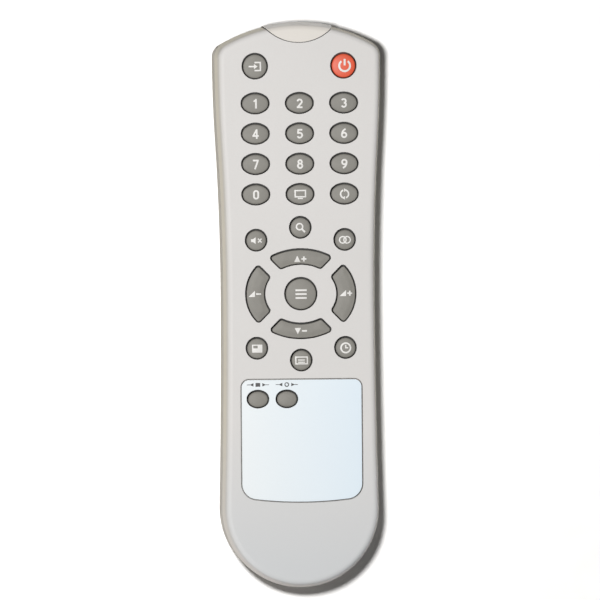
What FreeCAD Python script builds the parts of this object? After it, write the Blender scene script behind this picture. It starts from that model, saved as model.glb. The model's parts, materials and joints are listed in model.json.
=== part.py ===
"""TV remote control.

Two moulded shells close on a circuit board, a silicone key mat and two AAA cells.
+X is to the right of the key side, +Y towards the emitter end and +Z out of the key side.
The origin is at the middle of the back, on the surface that the remote lies on. Millimetres.
"""

import FreeCAD
import Part
import math
import os
from FreeCAD import Vector

# Outline of the case, seen from the key side
LENGTH = 190.0
HEAD_WIDTH = 56.2
WAIST_INDENT = 2.4
WAIST_FROM_NOSE = 91.0
NOSE_RADIUS = 52.0
CORNER_RADIUS = 5.5
SHOULDER_SHARE = 0.35
TAIL_SWELL = 0.9

# Heights of the case
TOP_Z = 21.0
PARTING_Z = 15.5
UPPER_LEAN = 0.22
LOWER_LEAN = 0.07
CREASE_RADIUS = 1.8
BELLY_RADIUS = 3.4

# Walls of the shells
SIDE_WALL = 2.0
TOP_WALL = 2.2
LOWER_WALL = 1.8
LOWER_INNER_BEVEL = 1.5
TONGUE_SETBACK = 1.0
TONGUE_HEIGHT = 1.2
TONGUE_CLEARANCE = 0.1

# Keypad
KEY_GAP = 0.4
KEY_TRAVEL = 0.8
KEY_RIM_DROP = 0.6
KEY_DOME_RISE = 0.5
FOOT_MARGIN = 0.7
FOOT_GAP = 0.25
PILL_RADIUS = 1.9
PILL_THICKNESS = 0.4
PILL_CLEARANCE = 0.05
PILL_SIDES = 6
MAT_THICKNESS = 1.0
MAT_INSET = 3.8
MAT_FRONT_MARGIN = 0.5
MAT_REAR_MARGIN = 6.3

# Places of the keys: columns, and rows counted down from the nose
COLUMN_PITCH = 15.0
ROW_PITCH = 10.2
TOP_ROW_FROM_NOSE = 14.7
NUMBERS_BELOW_TOP_ROW = 12.5
RING_BELOW_NUMBERS = 64.1
CENTRE_ROUND_FROM_RING = 22.3
UPPER_ROUND_FROM_RING = 18.1
LOWER_ROUND_FROM_RING = 18.2
SMALL_KEY_INSET = 5.9
SMALL_KEY_BELOW_PANEL_TOP = 6.8
SMALL_KEY_PITCH = 9.8

# Sizes of the key holes
LARGE_ROUND = 9.0
SMALL_ROUND = 7.7
MENU_ROUND = 11.3
NUMBER_OVAL = (9.9, 7.5)
SMALL_OVAL = (7.7, 6.3)
RING_OUTER = (37.8, 30.6)
RING_INNER = (24.0, 19.4)
RING_UPRIGHT_OFFSET = 1.15
RING_SIDE_OFFSET = 4.2
RING_CORNER_RADIUS = 1.3
OVAL_END_SHARE = 1.1

# White panel at the tail end of the key side
PANEL_KEYS = ("key_picture_adjust", "key_sound_adjust")
PANEL_BELOW_CAPTION = 6.2
PANEL_LENGTH = 41.8
PANEL_SIDE_MARGIN = 5.0
PANEL_TOP_RADIUS = 2.9
PANEL_BOTTOM_RADIUS = 5.6
PANEL_BOTTOM_BULGE = 1.6
PANEL_THICKNESS = 1.0
PANEL_GAP = 0.4
PANEL_GLUE = 0.05
PANEL_SUNK = 0.05

# Emitter window at the nose
WINDOW_SCOOP_RADIUS = 15.7
WINDOW_DEPTH = 7.0
WINDOW_LOW_Z = 9.0
WINDOW_GAP = 0.25
WINDOW_PROUD = 0.4
WINDOW_FLANGE = 1.0
WINDOW_FLANGE_THICKNESS = 0.9
WINDOW_SEAT_GAP = 0.15
EMITTER_RADIUS = 2.5
EMITTER_RIM_RADIUS = 2.9
EMITTER_RIM_THICKNESS = 1.0
EMITTER_LENGTH = 7.4
EMITTER_NOSE_RADIUS = 1.3
EMITTER_NOSE_LENGTH = 1.6
EMITTER_STAND_OFF = 0.4
EMITTER_LEG_PITCH = 2.54
EMITTER_LEG_REACH = 4.0

# Circuit board
BOARD_THICKNESS = 1.2
BOARD_Z = 14.2
BOARD_INSET = 3.4
BOARD_FROM_NOSE = 12.0
BOARD_BEHIND_MAT = 2.5
PIN_WIDTH = 2.2
PIN_CLEARANCE = 0.15
PIN_X = 7.5

# Ribs and hooks inside the shells
RIB_THICKNESS = 0.9
RIB_CLEARANCE = 0.1
RIB_SIDE_GAP = 2.9
POST_RIBS_FROM_NOSE = (29.0, 73.0, 109.0)
POST_RIB_INNER_X = 15.0
HOOKS_FROM_NOSE = (39.0, 97.0)
LAST_HOOK_FROM_TAIL = 33.0
HOOK_NOTCH_GAP = 0.5
HOOK_WIDTH = 6.0
HOOK_ARM_INSET = 3.5
HOOK_ARM_THICKNESS = 0.9
HOOK_NOSE = 0.6
HOOK_NOSE_LOW = 1.9
HOOK_NOSE_HEIGHT = 1.0
HOOK_ROOT_DEPTH = 4.0
HOOK_CLEARANCE = 0.15

# Battery compartment and cells
CELL_RADIUS = 5.25
CELL_LENGTH = 44.5
CELL_NUB_RADIUS = 1.9
CELL_NUB_LENGTH = 1.0
CELL_NUB_ROOT = 0.5
CELL_PITCH = 11.2
CELL_LIFT = 0.3
BAY_FROM_TAIL = 12.0
BAY_CONTACT_ROOM = 6.5
BAY_SIDE_GAP = 0.45
BAY_ROOF_GAP = 0.2
BAY_WALL = 1.2
CONTACT_THICKNESS = 0.4
CONTACT_WIDTH = 7.0
CONTACT_HEIGHT = 8.0
CONTACT_BOSS_RADIUS = 1.5
CONTACT_BOSS_HEIGHT = 0.5
CONTACT_SEAT_GAP = 0.05
BRIDGE_STRAP_WIDTH = 4.0
LEAF_WIDTH = 5.0
LEAF_END_SHARE = 0.35
LEAF_END_DROP = 0.5

# Battery door and its rails
DOOR_SIDE_LAND = 3.7
DOOR_FRONT_LAND = 3.5
DOOR_GAP = 0.15
DOOR_LIP_Z = 5.0
DOOR_EDGE_WIDTH = 1.6
DOOR_EDGE_HEIGHT = 2.6
RAIL_REACH = 1.0
RAIL_THICKNESS = 1.0
RAIL_CLEARANCE = 0.12
RAIL_WALL = 1.1
RAIL_BLOCK_WIDTH = 3.0
RAIL_REAR_MARGIN = 3.0
DOOR_TONGUE_WIDTH = 20.0
DOOR_TONGUE_LENGTH = 1.4
DOOR_TONGUE_THICKNESS = 0.8
DOOR_TONGUE_OVERLAP = 1.5
GRIP_ROWS = 5
GRIP_PITCH = 2.0
GRIP_GROOVE = (14.0, 0.9, 0.4)
GRIP_FROM_DOOR_FRONT = 11.5
ARROW_WIDTH = 6.0
ARROW_LENGTH = 4.0

# Case screw under the door
SCREW_FROM_TAIL = 7.0
SCREW_HEAD_RADIUS = 2.4
SCREW_HEAD_HEIGHT = 1.3
SCREW_SHANK_RADIUS = 1.1
SCREW_LENGTH = 9.0
SCREW_HOLE_RADIUS = 1.3
SCREW_FLOOR_THICKNESS = 1.4
SCREW_POST_RADIUS = 2.8

# Parts on the underside of the board: each place is an x and a distance from the nose
CHIP_SIZE = (12.8, 7.6, 2.2)
CHIP_PLACE = (0.0, 77.0)
CHIP_STAND_OFF = 0.1
CHIP_LEGS = 10
CHIP_LEG_PITCH = 1.27
CHIP_LEG_SIZE = (0.45, 1.4, 0.3)
RESONATOR_SIZE = (7.0, 3.2, 8.0)
RESONATOR_PLACE = (-13.0, 61.0)
RESONATOR_STAND_OFF = 1.0
RESONATOR_LEG_PITCH = 5.0
CAPACITOR_RADIUS = 2.5
CAPACITOR_LENGTH = 9.0
CAPACITOR_PLACE = (12.5, 55.0)
CAPACITOR_STAND_OFF = 0.5
CAPACITOR_LEG_PITCH = 2.0
TRANSISTOR_RADIUS = 2.3
TRANSISTOR_FLAT = 1.4
TRANSISTOR_LENGTH = 4.6
TRANSISTOR_PLACE = (6.0, 27.0)
TRANSISTOR_STAND_OFF = 2.0
TRANSISTOR_LEG_PITCH = 2.5
RESISTOR_SIZE = (2.0, 1.25, 0.6)
RESISTOR_PLACES = ((-4.0, 25.0), (-4.0, 29.0), (-8.0, 87.0), (-4.0, 87.0), (4.0, 87.0))
LEG_WIDTH = 0.5
LEG_OVERLAP = 0.2

# Places along and across the case that follow from the values above
HALF_LENGTH = LENGTH / 2
NOSE_Y = HALF_LENGTH - WINDOW_PROUD
WAIST_WIDTH = HEAD_WIDTH - 2 * WAIST_INDENT
WAIST_Y = HALF_LENGTH - WAIST_FROM_NOSE
TAIL_RADIUS = WAIST_WIDTH / 2 + TAIL_SWELL
TOP_ROW_Y = HALF_LENGTH - TOP_ROW_FROM_NOSE
NUMBER_ROW_Y = TOP_ROW_Y - NUMBERS_BELOW_TOP_ROW
LAST_NUMBER_ROW_Y = NUMBER_ROW_Y - 3 * ROW_PITCH
RING_Y = NUMBER_ROW_Y - RING_BELOW_NUMBERS
SCAN_Y = RING_Y + CENTRE_ROUND_FROM_RING
UPPER_ROUND_Y = RING_Y + UPPER_ROUND_FROM_RING
LOWER_ROUND_Y = RING_Y - LOWER_ROUND_FROM_RING
CAPTION_Y = RING_Y - CENTRE_ROUND_FROM_RING
PANEL_WIDTH = WAIST_WIDTH - 2 * PANEL_SIDE_MARGIN
PANEL_TOP_Y = CAPTION_Y - PANEL_BELOW_CAPTION
PANEL_BOTTOM_Y = PANEL_TOP_Y - PANEL_LENGTH
SMALL_KEY_X = PANEL_WIDTH / 2 - SMALL_KEY_INSET
SMALL_KEY_Y = PANEL_TOP_Y - SMALL_KEY_BELOW_PANEL_TOP
BOARD_FRONT_Y = HALF_LENGTH - BOARD_FROM_NOSE
MAT_FRONT_Y = BOARD_FRONT_Y - MAT_FRONT_MARGIN
MAT_REAR_Y = SMALL_KEY_Y - MAT_REAR_MARGIN
BOARD_REAR_Y = MAT_REAR_Y - BOARD_BEHIND_MAT
WINDOW_REAR_Y = HALF_LENGTH - WINDOW_DEPTH
EMITTER_REAR_Y = BOARD_FRONT_Y + EMITTER_STAND_OFF
RIB_REACH_X = WAIST_WIDTH / 2 - SIDE_WALL - RIB_SIDE_GAP
RIB_ROWS = (
    (TOP_ROW_Y + NUMBER_ROW_Y) / 2,
    NUMBER_ROW_Y - ROW_PITCH / 2,
    NUMBER_ROW_Y - 3 * ROW_PITCH / 2,
    NUMBER_ROW_Y - 5 * ROW_PITCH / 2,
    (LAST_NUMBER_ROW_Y + SCAN_Y) / 2,
    (CAPTION_Y + SMALL_KEY_Y) / 2,
)
PIN_ROWS = (RIB_ROWS[1], CAPTION_Y)
POST_RIB_ROWS = tuple(HALF_LENGTH - distance for distance in POST_RIBS_FROM_NOSE)
HOOK_ROWS = (*(HALF_LENGTH - distance for distance in HOOKS_FROM_NOSE), LAST_HOOK_FROM_TAIL - HALF_LENGTH)
SCREW_Y = SCREW_FROM_TAIL - HALF_LENGTH
BAY_REAR_Y = BAY_FROM_TAIL - HALF_LENGTH
BAY_LENGTH = CELL_LENGTH + BAY_CONTACT_ROOM
BAY_FRONT_Y = BAY_REAR_Y + BAY_LENGTH
BAY_HALF_WIDTH = CELL_PITCH / 2 + CELL_RADIUS + BAY_SIDE_GAP
DOOR_WIDTH = 2 * (BAY_HALF_WIDTH + DOOR_SIDE_LAND)
DOOR_FRONT_Y = BAY_FRONT_Y + DOOR_FRONT_LAND
RAIL_REAR_Y = BAY_REAR_Y + RAIL_REAR_MARGIN
GRIP_Y = DOOR_FRONT_Y - GRIP_FROM_DOOR_FRONT

# Heights that follow from the values above
BOARD_TOP_Z = BOARD_Z + BOARD_THICKNESS
MAT_TOP_Z = BOARD_TOP_Z + MAT_THICKNESS
PILL_LOW_Z = BOARD_TOP_Z + KEY_TRAVEL + PILL_CLEARANCE
FOOT_LOW_Z = PILL_LOW_Z + PILL_THICKNESS
CEILING_Z = TOP_Z - TOP_WALL
FOOT_TOP_Z = CEILING_Z - FOOT_GAP
CELL_Z = LOWER_WALL + CELL_LIFT + CELL_RADIUS
BAY_ROOF_Z = CELL_Z + CELL_RADIUS + BAY_ROOF_GAP
BAY_LOW_Z = DOOR_EDGE_HEIGHT + RAIL_CLEARANCE
BAY_SHELF_Z = BAY_LOW_Z + RAIL_WALL
SCREW_FLOOR_Z = DOOR_LIP_Z + DOOR_GAP


def box(x0, x1, y0, y1, z0, z1):
    """A box between two corners."""
    return Part.makeBox(x1 - x0, y1 - y0, z1 - z0, Vector(x0, y0, z0))


def mirrored(shape):
    """The shape on the other side of the middle plane."""
    return shape.mirror(Vector(0, 0, 0), Vector(1, 0, 0))


def prism(wire, z0, z1):
    """A flat wire drawn at height 0, extruded from z0 to z1."""
    face = Part.Face(wire)
    face.translate(Vector(0, 0, z0))
    return face.extrude(Vector(0, 0, z1 - z0))


def fused(shapes):
    """One shape from several."""
    return shapes[0].multiFuse(shapes[1:]).removeSplitter() if len(shapes) > 1 else shapes[0]


def arc(a, b, c):
    """The edge of an arc from a through b to c."""
    return Part.Arc(a, b, c).toShape()


# Forms of the case


def corner_centre():
    """The centre of the right head corner, which the nose arc runs into smoothly."""
    x = HEAD_WIDTH / 2 - CORNER_RADIUS
    reach = NOSE_RADIUS - CORNER_RADIUS
    return Vector(x, NOSE_Y - NOSE_RADIUS + math.sqrt(reach**2 - x**2), 0)


def flank_arcs():
    """Centre and radius of the right flank's shoulder, waist and hip arcs and of the tail arc.

    Each arc runs into the next one smoothly. The shoulder and the tail bulge, the others are hollow.
    """
    waist = WAIST_WIDTH / 2
    corner = corner_centre()
    narrowing = HEAD_WIDTH / 2 - waist
    rise = corner.y - WAIST_Y
    both = (rise**2 + narrowing**2) / (2 * narrowing)
    shoulder_radius = SHOULDER_SHARE * both
    shoulder = Vector(HEAD_WIDTH / 2 - shoulder_radius, corner.y, 0)
    waist_radius = both - shoulder_radius
    tail = Vector(0, TAIL_RADIUS - HALF_LENGTH, 0)
    fall = WAIST_Y - tail.y
    hip_radius = (waist**2 + fall**2 - TAIL_RADIUS**2) / (2 * (TAIL_RADIUS - waist))
    return (
        (shoulder, shoulder_radius),
        (Vector(waist + waist_radius, WAIST_Y, 0), waist_radius),
        (Vector(waist + hip_radius, WAIST_Y, 0), hip_radius),
        (tail, TAIL_RADIUS),
    )


def on_circle(centre, radius, a, b):
    """The point of a circle that lies halfway between its points a and b."""
    middle = (a + b) / 2 - centre
    return centre + middle.normalize() * radius


def left(point):
    """The point on the other side of the middle plane."""
    return Vector(-point.x, point.y, point.z)


def case_outline(inset):
    """The closed outline of the case at height 0, moved in by inset."""
    nose = Vector(0, NOSE_Y - NOSE_RADIUS, 0)
    corner = corner_centre()
    shoulder_arc, waist_arc, hip_arc, tail_arc = flank_arcs()
    shoulder, shoulder_radius = shoulder_arc
    waist, waist_radius = waist_arc
    hip, hip_radius = hip_arc
    tail, tail_radius = tail_arc
    outward = (corner - nose).normalize()
    radius = CORNER_RADIUS - inset
    nose_end = corner + outward * radius
    head = corner + Vector(radius, 0, 0)
    bend = shoulder + (waist - shoulder).normalize() * (shoulder_radius - inset)
    narrow = Vector(WAIST_WIDTH / 2 - inset, WAIST_Y, 0)
    tail_start = tail + (hip - tail).normalize() * (tail_radius - inset)
    right = [
        arc(nose_end, on_circle(corner, radius, nose_end, head), head),
        arc(head, on_circle(shoulder, shoulder_radius - inset, head, bend), bend),
        arc(bend, on_circle(waist, waist_radius + inset, bend, narrow), narrow),
        arc(narrow, on_circle(hip, hip_radius + inset, narrow, tail_start), tail_start),
    ]
    front = arc(left(nose_end), Vector(0, NOSE_Y - inset, 0), nose_end)
    back = arc(tail_start, Vector(0, inset - HALF_LENGTH, 0), left(tail_start))
    edges = [front, back] + right + [mirrored(edge) for edge in right]
    return Part.Wire(Part.__sortEdges__(edges))


def at_height(wire, z):
    """A copy of a flat wire, lifted to z."""
    lifted = wire.copy()
    lifted.translate(Vector(0, 0, z))
    return lifted


def leaning_wall(inset, z0, z1, lean):
    """The solid inside the case outline between two heights, leaning in away from the parting line."""
    wires = []
    for z in (z0, z1):
        wires.append(at_height(case_outline(inset + lean * abs(z - PARTING_Z)), z))
    return Part.makeLoft(wires, True, True)


def upper_form(inset, drop):
    """The upper half of the case as a solid, moved in by inset at its sides and by drop at its top."""
    return leaning_wall(inset, PARTING_Z, TOP_Z - drop, UPPER_LEAN)


def lower_form(inset):
    """The lower half of the case as a solid, moved in by inset all over."""
    return leaning_wall(inset, inset, PARTING_Z, LOWER_LEAN)


def edges_at(form, z):
    """The edges of a form that lie flat at a height."""
    return [e for e in form.Edges if abs(e.BoundBox.ZMin - z) < 0.01 and abs(e.BoundBox.ZMax - z) < 0.01]


def upper_skin(grow):
    """The upper half of the case with its rounded crease, wider all round by grow."""
    form = upper_form(-grow, 0)
    return form.makeFillet(CREASE_RADIUS, edges_at(form, TOP_Z))


def lower_skin():
    """The lower half of the case with its rounded underside edge."""
    form = lower_form(0)
    return form.makeFillet(BELLY_RADIUS, edges_at(form, 0))


def lower_hollow():
    """The space inside the lower shell, with a bevel where the rounded edge is outside."""
    form = lower_form(LOWER_WALL)
    return form.makeChamfer(LOWER_INNER_BEVEL, edges_at(form, LOWER_WALL))


def half_width(y):
    """Half the width of the case at the parting line, at a place along it."""
    across = Part.makeLine(Vector(0, y, 0), Vector(HEAD_WIDTH, y, 0))
    return across.distToShape(case_outline(0))[1][0][0].x


# Outlines of the keys: each function draws a wire that is grown by a margin


def oval(width, height):
    """A maker of a round outline, or of an oval one from two pairs of arcs that run into each other."""

    def draw(grow):
        across = width / 2 + grow
        along = height / 2 + grow
        if abs(across - along) < 1e-6:
            return Part.Wire([Part.makeCircle(across)])
        end_radius = OVAL_END_SHARE * height**2 / (2 * width) + grow
        side_radius = ((across - end_radius) ** 2 + along**2 - end_radius**2) / (2 * (along - end_radius))
        end_centre = Vector(across - end_radius, 0, 0)
        side_centre = Vector(0, along - side_radius, 0)
        joint = end_centre + (end_centre - side_centre).normalize() * end_radius
        below = Vector(joint.x, -joint.y, 0)
        edges = [
            arc(left(joint), Vector(0, along, 0), joint),
            arc(joint, Vector(across, 0, 0), below),
            arc(below, Vector(0, -along, 0), left(below)),
            arc(left(below), Vector(-across, 0, 0), left(joint)),
        ]
        return Part.Wire(edges)

    return draw


def ring_key(turned):
    """A maker of a quarter of the oval ring: the upper one, or the right one if turned."""
    offset = RING_SIDE_OFFSET if turned else RING_UPRIGHT_OFFSET
    reach = RING_OUTER[0]

    def draw(grow):
        band = Part.Face(oval(*RING_OUTER)(grow)).cut(Part.Face(oval(*RING_INNER)(-grow)))
        tip = offset - grow * math.sqrt(2)
        corners = [Vector(0, tip, 0), Vector(reach, tip + reach, 0), Vector(-reach, tip + reach, 0)]
        wedge = Part.Face(Part.makePolygon(corners + corners[:1]))
        if turned:
            wedge.rotate(Vector(0, 0, 0), Vector(0, 0, 1), -90)
        radius = RING_CORNER_RADIUS + max(grow, -RING_CORNER_RADIUS / 2)
        return rounded(band.common(wedge).Faces[0], radius, tip, turned)

    return draw


def rounded(face, radius, tip, turned):
    """The outline of a ring key with its four corners rounded: those that lie on the wedge's two sides."""
    body = face.extrude(Vector(0, 0, 1))
    corners = []
    for edge in body.Edges:
        place = edge.CenterOfMass
        along, across = (place.x, place.y) if turned else (place.y, place.x)
        if edge.BoundBox.ZLength > 0.9 and abs(along - abs(across) - tip) < 0.01:
            corners.append(edge)
    body = body.makeFillet(radius, corners)
    return min(body.Faces, key=lambda f: f.CenterOfMass.z).OuterWire


def opposite(draw):
    """The same outline, half a turn round."""

    def drawn(grow):
        wire = draw(grow)
        wire.rotate(Vector(0, 0, 0), Vector(0, 0, 1), 180)
        return wire

    return drawn


def number_place(number):
    """Column and row of a number key, with 0 under 7."""
    column, row = ((number - 1) % 3, (number - 1) // 3) if number else (0, 3)
    return (column - 1) * COLUMN_PITCH, NUMBER_ROW_Y - row * ROW_PITCH


def all_keys():
    """Every key as name: (x, y, outline of its hole)."""
    round_large = oval(LARGE_ROUND, LARGE_ROUND)
    round_small = oval(SMALL_ROUND, SMALL_ROUND)
    number = oval(*NUMBER_OVAL)
    small = oval(*SMALL_OVAL)
    keys = {
        "key_source": (-COLUMN_PITCH, TOP_ROW_Y, round_large),
        "key_power": (COLUMN_PITCH, TOP_ROW_Y, round_large),
    }
    for n in (1, 2, 3, 4, 5, 6, 7, 8, 9, 0):
        keys[f"key_{n}"] = (*number_place(n), number)
    keys |= {
        "key_display": (0.0, LAST_NUMBER_ROW_Y, number),
        "key_recall": (COLUMN_PITCH, LAST_NUMBER_ROW_Y, number),
        "key_scan": (0.0, SCAN_Y, round_small),
        "key_mute": (-COLUMN_PITCH, UPPER_ROUND_Y, round_small),
        "key_sound": (COLUMN_PITCH, UPPER_ROUND_Y, round_small),
        "key_channel_up": (0.0, RING_Y, ring_key(False)),
        "key_channel_down": (0.0, RING_Y, opposite(ring_key(False))),
        "key_volume_up": (0.0, RING_Y, ring_key(True)),
        "key_volume_down": (0.0, RING_Y, opposite(ring_key(True))),
        "key_menu": (0.0, RING_Y, oval(MENU_ROUND, MENU_ROUND)),
        "key_picture": (-COLUMN_PITCH, LOWER_ROUND_Y, round_small),
        "key_timer": (COLUMN_PITCH, LOWER_ROUND_Y, round_small),
        "key_caption": (0.0, CAPTION_Y, round_small),
        "key_picture_adjust": (-SMALL_KEY_X, SMALL_KEY_Y, small),
        "key_sound_adjust": (SMALL_KEY_PITCH - SMALL_KEY_X, SMALL_KEY_Y, small),
    }
    return keys


def key_wire(key, grow):
    """A key hole's outline in its place, grown by a margin."""
    x, y, draw = key
    wire = draw(grow)
    wire.translate(Vector(x, y, 0))
    return wire


def is_ring(name):
    """Whether a key is a quarter of the ring, whose flange follows its outline."""
    return name.startswith(("key_channel", "key_volume"))


def foot_prism(name, key, grow, z0, z1):
    """The foot of a key between two heights, grown by a margin: a box, or a wider ring key."""
    wire = key_wire(key, FOOT_MARGIN - KEY_GAP + grow)
    if is_ring(name):
        return prism(wire, z0, z1)
    bounds = wire.BoundBox
    return box(bounds.XMin, bounds.XMax, bounds.YMin, bounds.YMax, z0, z1)


# Pieces


def make_key(name, key):
    """A silicone key with a rounded top and a wider foot under the case, and the carbon pill below it."""
    outline = key_wire(key, -KEY_GAP)
    bounds = outline.BoundBox
    upright = bounds.YLength > bounds.XLength + 0.01
    half = max(bounds.XLength, bounds.YLength) / 2
    radius = (half**2 + KEY_DOME_RISE**2) / (2 * KEY_DOME_RISE)
    axis = Vector(1, 0, 0) if upright else Vector(0, 1, 0)
    top = TOP_Z - KEY_RIM_DROP + KEY_DOME_RISE
    centre = Vector(bounds.Center.x, bounds.Center.y, top - radius)
    dome = Part.makeCylinder(radius, LENGTH, centre - axis * HALF_LENGTH, axis)
    post = prism(outline, FOOT_LOW_Z, TOP_Z).common(dome)
    foot = foot_prism(name, key, 0, FOOT_LOW_Z, FOOT_TOP_Z)
    middle = Vector(*pill_place(name, key), 0)
    corners = []
    for i in range(PILL_SIDES + 1):
        angle = 2 * math.pi * i / PILL_SIDES
        corners.append(middle + Vector(math.cos(angle), math.sin(angle), 0) * PILL_RADIUS)
    pill = prism(Part.makePolygon(corners), PILL_LOW_Z, FOOT_LOW_Z)
    return Part.makeCompound([fused([post, foot]), pill])


def pill_place(name, key):
    """The middle of a key's foot; for a ring key, the middle of its band."""
    x, y, _ = key
    if not is_ring(name):
        return x, y
    across = (RING_OUTER[0] + RING_INNER[0]) / 4
    along = (RING_OUTER[1] + RING_INNER[1]) / 4
    way = {
        "key_channel_up": (0, along),
        "key_channel_down": (0, -along),
        "key_volume_up": (across, 0),
        "key_volume_down": (-across, 0),
    }[name]
    return x + way[0], y + way[1]


def panel_outline(inset):
    """Outline of the white panel, whose lower edge bulges."""
    half = PANEL_WIDTH / 2 - inset
    top = PANEL_TOP_Y - inset
    bottom = PANEL_BOTTOM_Y + inset
    corner_y = bottom + PANEL_BOTTOM_BULGE
    edges = [
        Part.makeLine(Vector(-half, corner_y, 0), Vector(-half, top, 0)),
        Part.makeLine(Vector(-half, top, 0), Vector(half, top, 0)),
        Part.makeLine(Vector(half, top, 0), Vector(half, corner_y, 0)),
        arc(Vector(half, corner_y, 0), Vector(0, bottom, 0), Vector(-half, corner_y, 0)),
    ]
    body = Part.Face(Part.Wire(edges)).extrude(Vector(0, 0, 1))
    for low, radius in ((False, PANEL_TOP_RADIUS), (True, PANEL_BOTTOM_RADIUS)):
        upright = [e for e in body.Edges if e.BoundBox.ZLength > 0.9]
        chosen = [e for e in upright if abs(e.CenterOfMass.y - (corner_y if low else top)) < 0.01]
        body = body.makeFillet(radius - inset, chosen)
    return min(body.Faces, key=lambda f: f.CenterOfMass.z).OuterWire


def make_white_panel():
    """The thin white plate that is glued into the upper case, with holes for its two keys."""
    top = TOP_Z - PANEL_SUNK
    plate = prism(panel_outline(PANEL_GAP), top - PANEL_THICKNESS, top)
    keys = all_keys()
    holes = [prism(key_wire(keys[name], 0), PARTING_Z, TOP_Z + 1) for name in PANEL_KEYS]
    return plate.cut(Part.makeCompound(holes))


def window_column(grow):
    """The upright cylinder that cuts the window out of the nose."""
    radius = WINDOW_SCOOP_RADIUS + grow
    centre = Vector(0, WINDOW_REAR_Y + WINDOW_SCOOP_RADIUS, WINDOW_LOW_Z - grow)
    return Part.makeCylinder(radius, TOP_Z, centre)


def whole_form(inset):
    """Both halves of the case as one solid, without their rounded edges, moved in by inset."""
    return upper_form(inset, inset).fuse(lower_form(inset))


def make_emitter_window():
    """The pale window cap, which stands a little proud of the nose, with a flange behind the case wall."""
    below = leaning_wall(-WINDOW_PROUD, 0, PARTING_Z, LOWER_LEAN)
    outside = upper_skin(WINDOW_PROUD).fuse(below)
    seat = max(SIDE_WALL, TOP_WALL, LOWER_WALL) + WINDOW_SEAT_GAP
    inside = whole_form(seat + WINDOW_FLANGE_THICKNESS)
    cap = outside.cut(inside).common(window_column(-WINDOW_GAP))
    flange = whole_form(seat).cut(inside).common(window_column(WINDOW_FLANGE))
    return fused([cap, flange])


def upper_ribs():
    """Ribs that hang from the ceiling and hold the mat down, with the pins that locate mat and board."""
    low = MAT_TOP_Z + RIB_CLEARANCE
    high = TOP_Z - TOP_WALL / 2
    half = RIB_THICKNESS / 2
    ribs = [box(-RIB_REACH_X, RIB_REACH_X, y - half, y + half, low, high) for y in RIB_ROWS]
    for x in (-PIN_X, PIN_X):
        ribs.append(box(x - half, x + half, RIB_ROWS[4], RIB_ROWS[0], low, high))
    return ribs + locating_pins(0, BOARD_Z - RIB_CLEARANCE, high)


def locating_pins(grow, z0, z1):
    """The square pins through the mat and the board between two heights, grown by a margin."""
    half = PIN_WIDTH / 2 + grow
    return [box(x - half, x + half, y - half, y + half, z0, z1) for x in (-PIN_X, PIN_X) for y in PIN_ROWS]


def screw_post():
    """The post in the upper case that the screw bites into."""
    low = SCREW_FLOOR_Z + SCREW_FLOOR_THICKNESS + RIB_CLEARANCE
    high = TOP_Z - TOP_WALL / 2
    post = Part.makeCylinder(SCREW_POST_RADIUS, high - low, Vector(0, SCREW_Y, low))
    depth = SCREW_LENGTH - SCREW_FLOOR_THICKNESS + 1
    return post.cut(Part.makeCylinder(SCREW_SHANK_RADIUS, depth, Vector(0, SCREW_Y, low)))


def hook_parts():
    """Hooks of the lower case and the pockets for them in the upper one, for the right side."""
    hooks = []
    pockets = []
    for y in HOOK_ROWS:
        wall = half_width(y)
        arm_out = wall - HOOK_ARM_INSET
        arm_in = arm_out - HOOK_ARM_THICKNESS
        low = PARTING_Z - HOOK_ROOT_DEPTH
        nose_low = PARTING_Z + HOOK_NOSE_LOW
        nose_top = nose_low + HOOK_NOSE_HEIGHT
        y0 = y - HOOK_WIDTH / 2
        y1 = y + HOOK_WIDTH / 2
        root_top = PARTING_Z - TONGUE_CLEARANCE
        root = box(arm_in, wall - LOWER_WALL / 2, y0, y1, low, root_top)
        arm = box(arm_in, arm_out, y0, y1, root_top, nose_top)
        nose = Part.Face(
            Part.makePolygon(
                [
                    Vector(arm_out, y0, nose_low),
                    Vector(arm_out + HOOK_NOSE, y0, nose_low),
                    Vector(arm_out, y0, nose_top),
                    Vector(arm_out, y0, nose_low),
                ]
            )
        ).extrude(Vector(0, HOOK_WIDTH, 0))
        hooks.append(fused([root, arm, nose]))
        gap = HOOK_CLEARANCE
        reach = arm_out + HOOK_NOSE + gap
        pockets.append(box(arm_in, reach, y0 - gap, y1 + gap, nose_low - gap, nose_top + gap))
    return hooks, pockets


def make_upper_case():
    """The upper shell, with key holes, ribs, pins, screw post and pockets for the hooks."""
    shell = upper_skin(0).cut(upper_form(SIDE_WALL, TOP_WALL))
    shell = shell.multiFuse(upper_ribs() + [screw_post()])
    recess = prism(panel_outline(0), TOP_Z - PANEL_SUNK - PANEL_THICKNESS - PANEL_GLUE, TOP_Z + 1)
    holes = [prism(key_wire(key, 0), CEILING_Z - 1, TOP_Z + 1) for key in all_keys().values()]
    outer = case_outline(TONGUE_SETBACK - TONGUE_CLEARANCE)
    inner = case_outline(LOWER_WALL + TONGUE_CLEARANCE)
    top = PARTING_Z + TONGUE_HEIGHT + TONGUE_CLEARANCE
    rabbet = prism(outer, PARTING_Z - 1, top).cut(prism(inner, PARTING_Z - 1, top))
    _, pockets = hook_parts()
    pockets += [mirrored(pocket) for pocket in pockets]
    shell = shell.cut(Part.makeCompound(holes + pockets))
    for cutter in (recess, rabbet, window_column(0)):
        shell = shell.cut(cutter)
    return shell.removeSplitter()


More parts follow.
